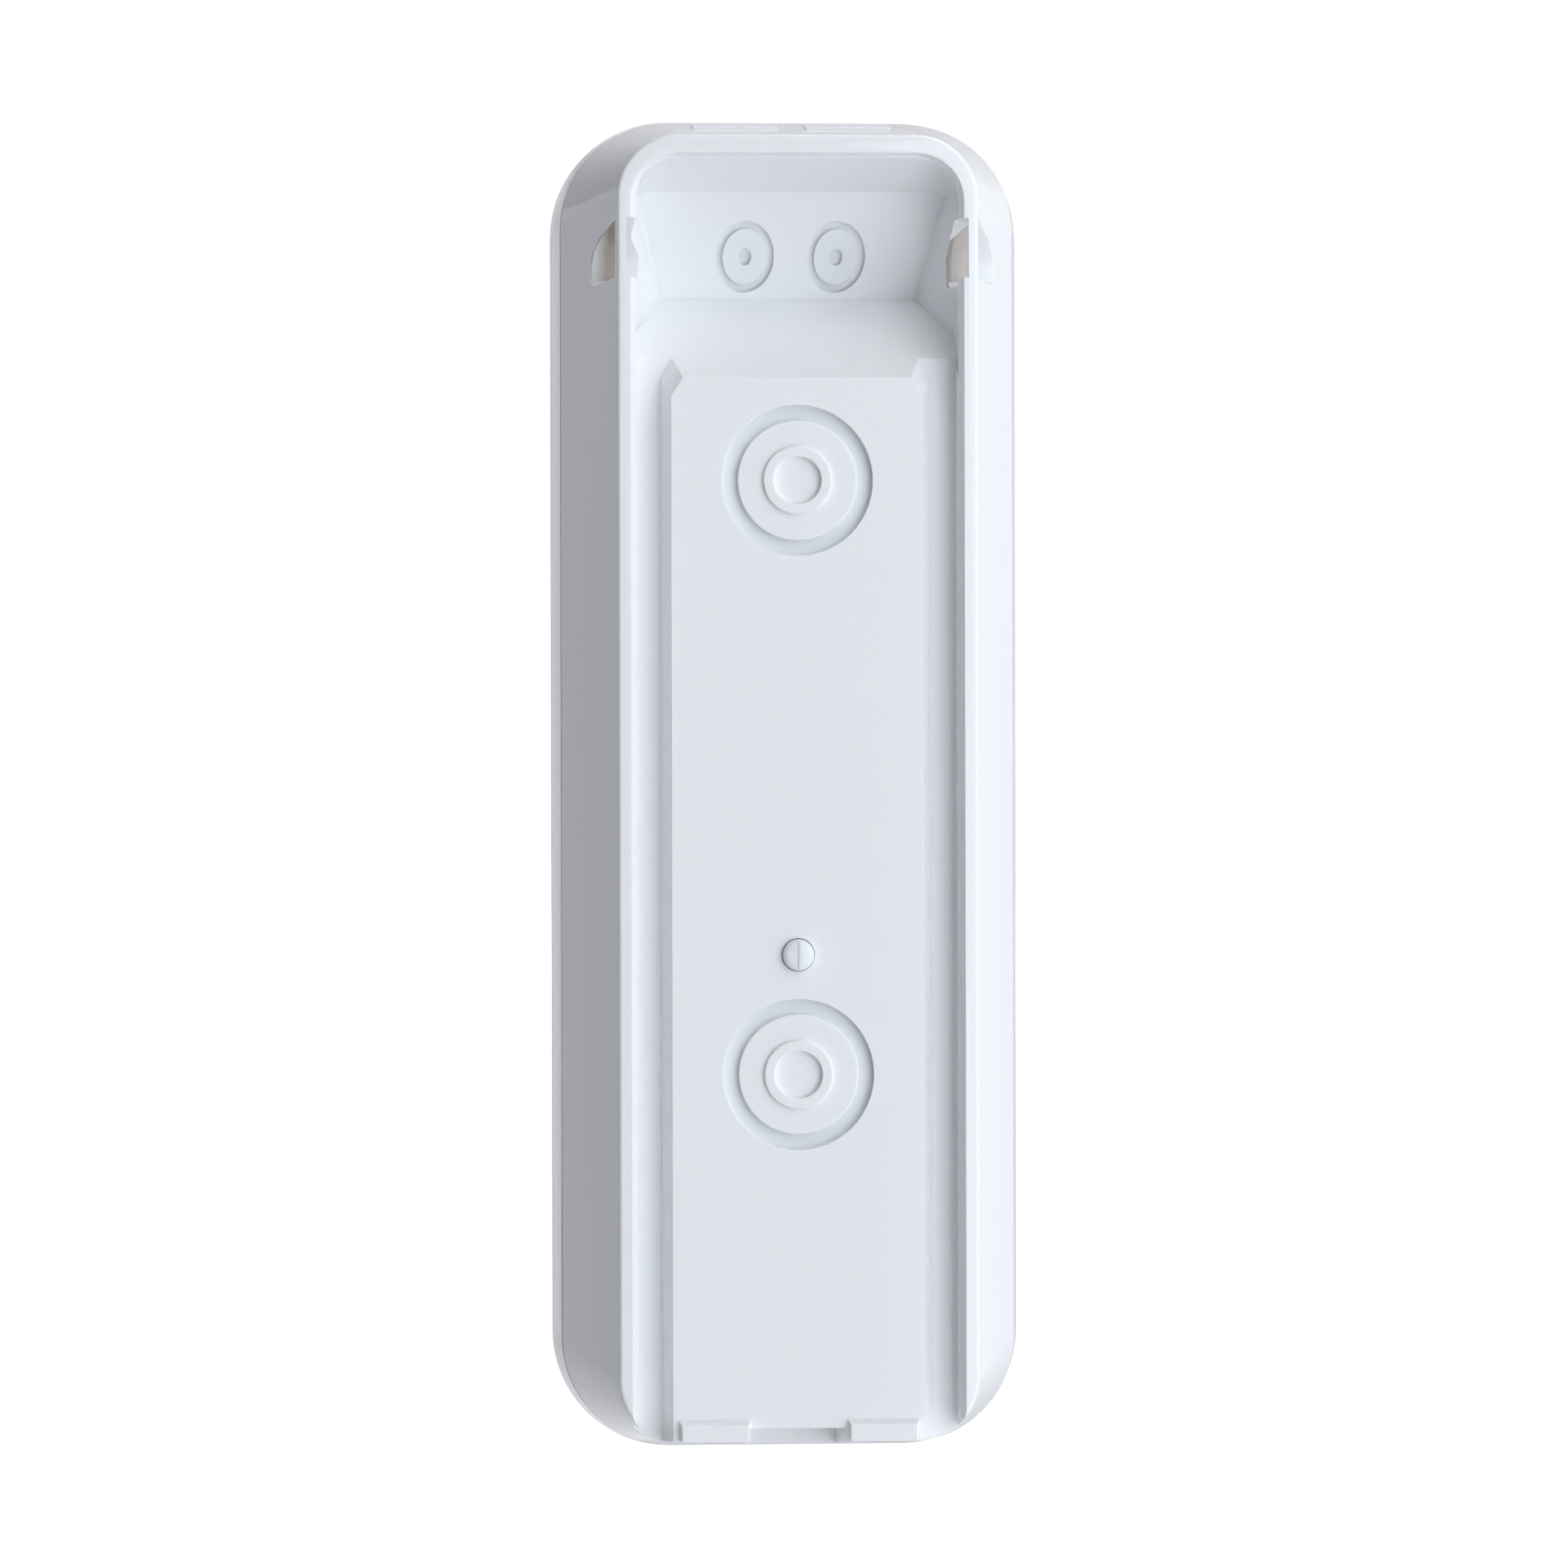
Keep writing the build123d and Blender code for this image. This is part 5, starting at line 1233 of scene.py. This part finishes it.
class DOORBELL_OT_power(Piece, bpy.types.Operator):
    """Battery cell with its end tapes, foam pads and lead"""

    bl_idname = "doorbell.power"
    bl_label = "Battery"

    def build(self, scene):
        stand_in("battery_pack", "battery_cell", 0.5 * MM, "wrap", "battery_wrap", 4)
        low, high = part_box("battery_pack")
        grow = Vector((0.05, 0.05, 0.05)) * MM
        wide = 2.6 * MM
        for name, z_low, z_high in (("battery_tape_lower", low.z, low.z + wide),
                                    ("battery_tape_upper", high.z - wide, high.z)):
            tape = block(name, Vector((low.x, low.y, z_low)) - grow,
                         Vector((high.x, high.y, z_high)) + grow)
            seat(round_off(tape, 0.5 * MM, 4), "tape", "battery_wrap")
        stand_in("battery_pads", "battery_foam", 0.1 * MM, "foam", "foam_tape")
        stand_in("battery_lead", "battery_connector", 0.12 * MM, "cream", "lead_plastic")


# Soft air from each side: axis, way and power, strongest straight along the axis
AIR = (("X", -1, 0.689), ("Y", -1, 0.24), ("Z", 1, 0.409), ("Z", -1, 0.674))
# What reflections see: a band beside the doorbell, then the air below and above that band
BESIDE = (0.644, 0.832)  # on the -X side and on the +X side
BELOW = 0.757
ABOVE = 0.537
BAND = (-0.30, 0.24)
AIR_TINT = colour((0.965, 0.983, 1.045))
BACKDROP = 1.05
WHITE = colour((1, 1, 1))


class DOORBELL_OT_stage(bpy.types.Operator):
    """Floor, soft lights and the camera"""

    bl_idname = "doorbell.stage"
    bl_label = "Stage"

    def execute(self, context):
        self.floor()
        self.world(context.scene)
        self.lights(context.scene)
        self.camera(context.scene)
        context.scene.view_settings.view_transform = "Standard"
        context.scene.view_settings.look = "None"
        return {"FINISHED"}

    def floor(self):
        bpy.ops.object.select_all(action="DESELECT")
        bpy.ops.mesh.primitive_plane_add(size=6.0, location=(0, 0, CAD_BOX[0].z - 0.2 * MM))
        floor = placed("studio_floor")
        made = Finish("floor_white", Roughness=0.6)
        cloud = made.noise(made.where(), 3.0, 4.0)
        made.feed(Base_Color=made.mix(cloud, colour((0.80, 0.80, 0.80)),
                                      colour((0.84, 0.84, 0.84))))
        seen = made.node("ShaderNodeLightPath").outputs["Is Camera Ray"]
        glow = made.node("ShaderNodeEmission", {"Color": WHITE, "Strength": 0.72})
        both = made.node("ShaderNodeAddShader", {0: made.skin.outputs[0], 1: glow.outputs[0]})
        mixed = made.node("ShaderNodeMixShader", {
            0: seen, 1: made.skin.outputs[0], 2: both.outputs[0]})
        made.tree.links.new(mixed.outputs[0], made.surface)
        floor.data.materials.append(made.material)
        floor.visible_diffuse = floor.visible_glossy = floor.visible_shadow = False

    def world(self, scene):
        world = bpy.data.worlds.new("studio_air")
        world.use_nodes = True
        scene.world = world
        net = Network(world.node_tree)
        paths = net.node("ShaderNodeLightPath").outputs
        axes = net.axes(net.node("ShaderNodeTexCoord").outputs["Generated"])
        air = 0.0
        for axis, way, power in AIR:
            air = net.math("ADD", net.math("MAXIMUM", net.times(axes[axis], way * power), 0.0), air)
        beside = net.blend(net.over(axes["X"], 0.0), *BESIDE)
        lower = net.blend(net.over(axes["Z"], BAND[0]), BELOW, beside)
        mirror = net.blend(net.math("LESS_THAN", axes["Z"], BAND[1]), ABOVE, lower)
        fill = net.node("ShaderNodeBackground", {
            "Color": AIR_TINT, "Strength": net.blend(paths["Is Glossy Ray"], air, mirror)})
        white = net.node("ShaderNodeBackground", {"Color": WHITE, "Strength": BACKDROP})
        mixed = net.node("ShaderNodeMixShader", {
            0: paths["Is Camera Ray"], 1: fill.outputs[0], 2: white.outputs[0]})
        net.fill(net.node("ShaderNodeOutputWorld").inputs, {"Surface": mixed.outputs[0]})

    def lights(self, scene):
        stage = scene.doorbell_stage
        for name, place, size, power, tint in (
            ("window_light", (-0.60, 1.15, -0.08), (1.0, 1.3), stage.window_power,
             (0.923, 1.004, 1.065)),
            ("sky_light", (-0.5, 0.8, 0.9), (1.0, 1.0), stage.sky_power, (0.98, 1.0, 1.02)),
            ("front_light", (-0.6, -0.9, 1.3), (0.9, 0.9), stage.front_power, (1.0, 1.0, 1.0)),
        ):
            data = bpy.data.lights.new(name, "AREA")
            data.shape = "RECTANGLE"
            data.size, data.size_y = size
            data.energy = power
            data.color = tint
            lamp = bpy.data.objects.new(name, data)
            lamp.location = place
            lamp.rotation_euler = (-Vector(place)).to_track_quat("-Z", "Y").to_euler()
            scene.collection.objects.link(lamp)

    def camera(self, scene):
        stage = scene.doorbell_stage
        data = bpy.data.cameras.new("bench_camera")
        data.lens = stage.camera_lens
        data.sensor_width = 36.0
        data.shift_x = stage.camera_shift
        data.clip_start, data.clip_end = 0.01, 20.0
        camera = bpy.data.objects.new("bench_camera", data)
        camera.location = (stage.camera_side, stage.camera_distance, 0.0)
        # Level, looking along -Y, then turned towards the middle plane and rolled
        camera.rotation_mode = "XYZ"
        camera.rotation_euler = (math.pi / 2, stage.camera_roll, math.pi - stage.camera_turn)
        scene.collection.objects.link(camera)
        scene.camera = camera


class DOORBELL_PT_dressing(bpy.types.Panel):
    """Lists the pieces in the sidebar"""

    bl_idname = "DOORBELL_PT_dressing"
    bl_label = "Doorbell"
    bl_space_type = "VIEW_3D"
    bl_region_type = "UI"
    bl_category = "Doorbell"

    def draw(self, context):
        for kind in PIECES:
            self.layout.operator(kind.bl_idname)


PIECES = (DOORBELL_OT_shells, DOORBELL_OT_caps, DOORBELL_OT_contacts, DOORBELL_OT_plunger,
          DOORBELL_OT_camera, DOORBELL_OT_button, DOORBELL_OT_motion, DOORBELL_OT_sound,
          DOORBELL_OT_board, DOORBELL_OT_power, DOORBELL_OT_stage)
SETTINGS = {"doorbell_plastics": DoorbellPlastics, "doorbell_electronics": DoorbellElectronics,
            "doorbell_stage": DoorbellStage}
CLASSES = (*SETTINGS.values(), *PIECES, DOORBELL_PT_dressing)


def register():
    for kind in CLASSES:
        bpy.utils.register_class(kind)
    for name, kind in SETTINGS.items():
        setattr(bpy.types.Scene, name, bpy.props.PointerProperty(type=kind))


def unregister():
    for name in SETTINGS:
        delattr(bpy.types.Scene, name)
    for kind in reversed(CLASSES):
        bpy.utils.unregister_class(kind)


def main():
    register()
    bpy.ops.doorbell.shells()
    bpy.ops.doorbell.caps()
    bpy.ops.doorbell.contacts()
    bpy.ops.doorbell.plunger()
    bpy.ops.doorbell.camera()
    bpy.ops.doorbell.button()
    bpy.ops.doorbell.motion()
    bpy.ops.doorbell.sound()
    bpy.ops.doorbell.board()
    bpy.ops.doorbell.power()
    bpy.ops.doorbell.stage()


if __name__ == "__main__":
    main()
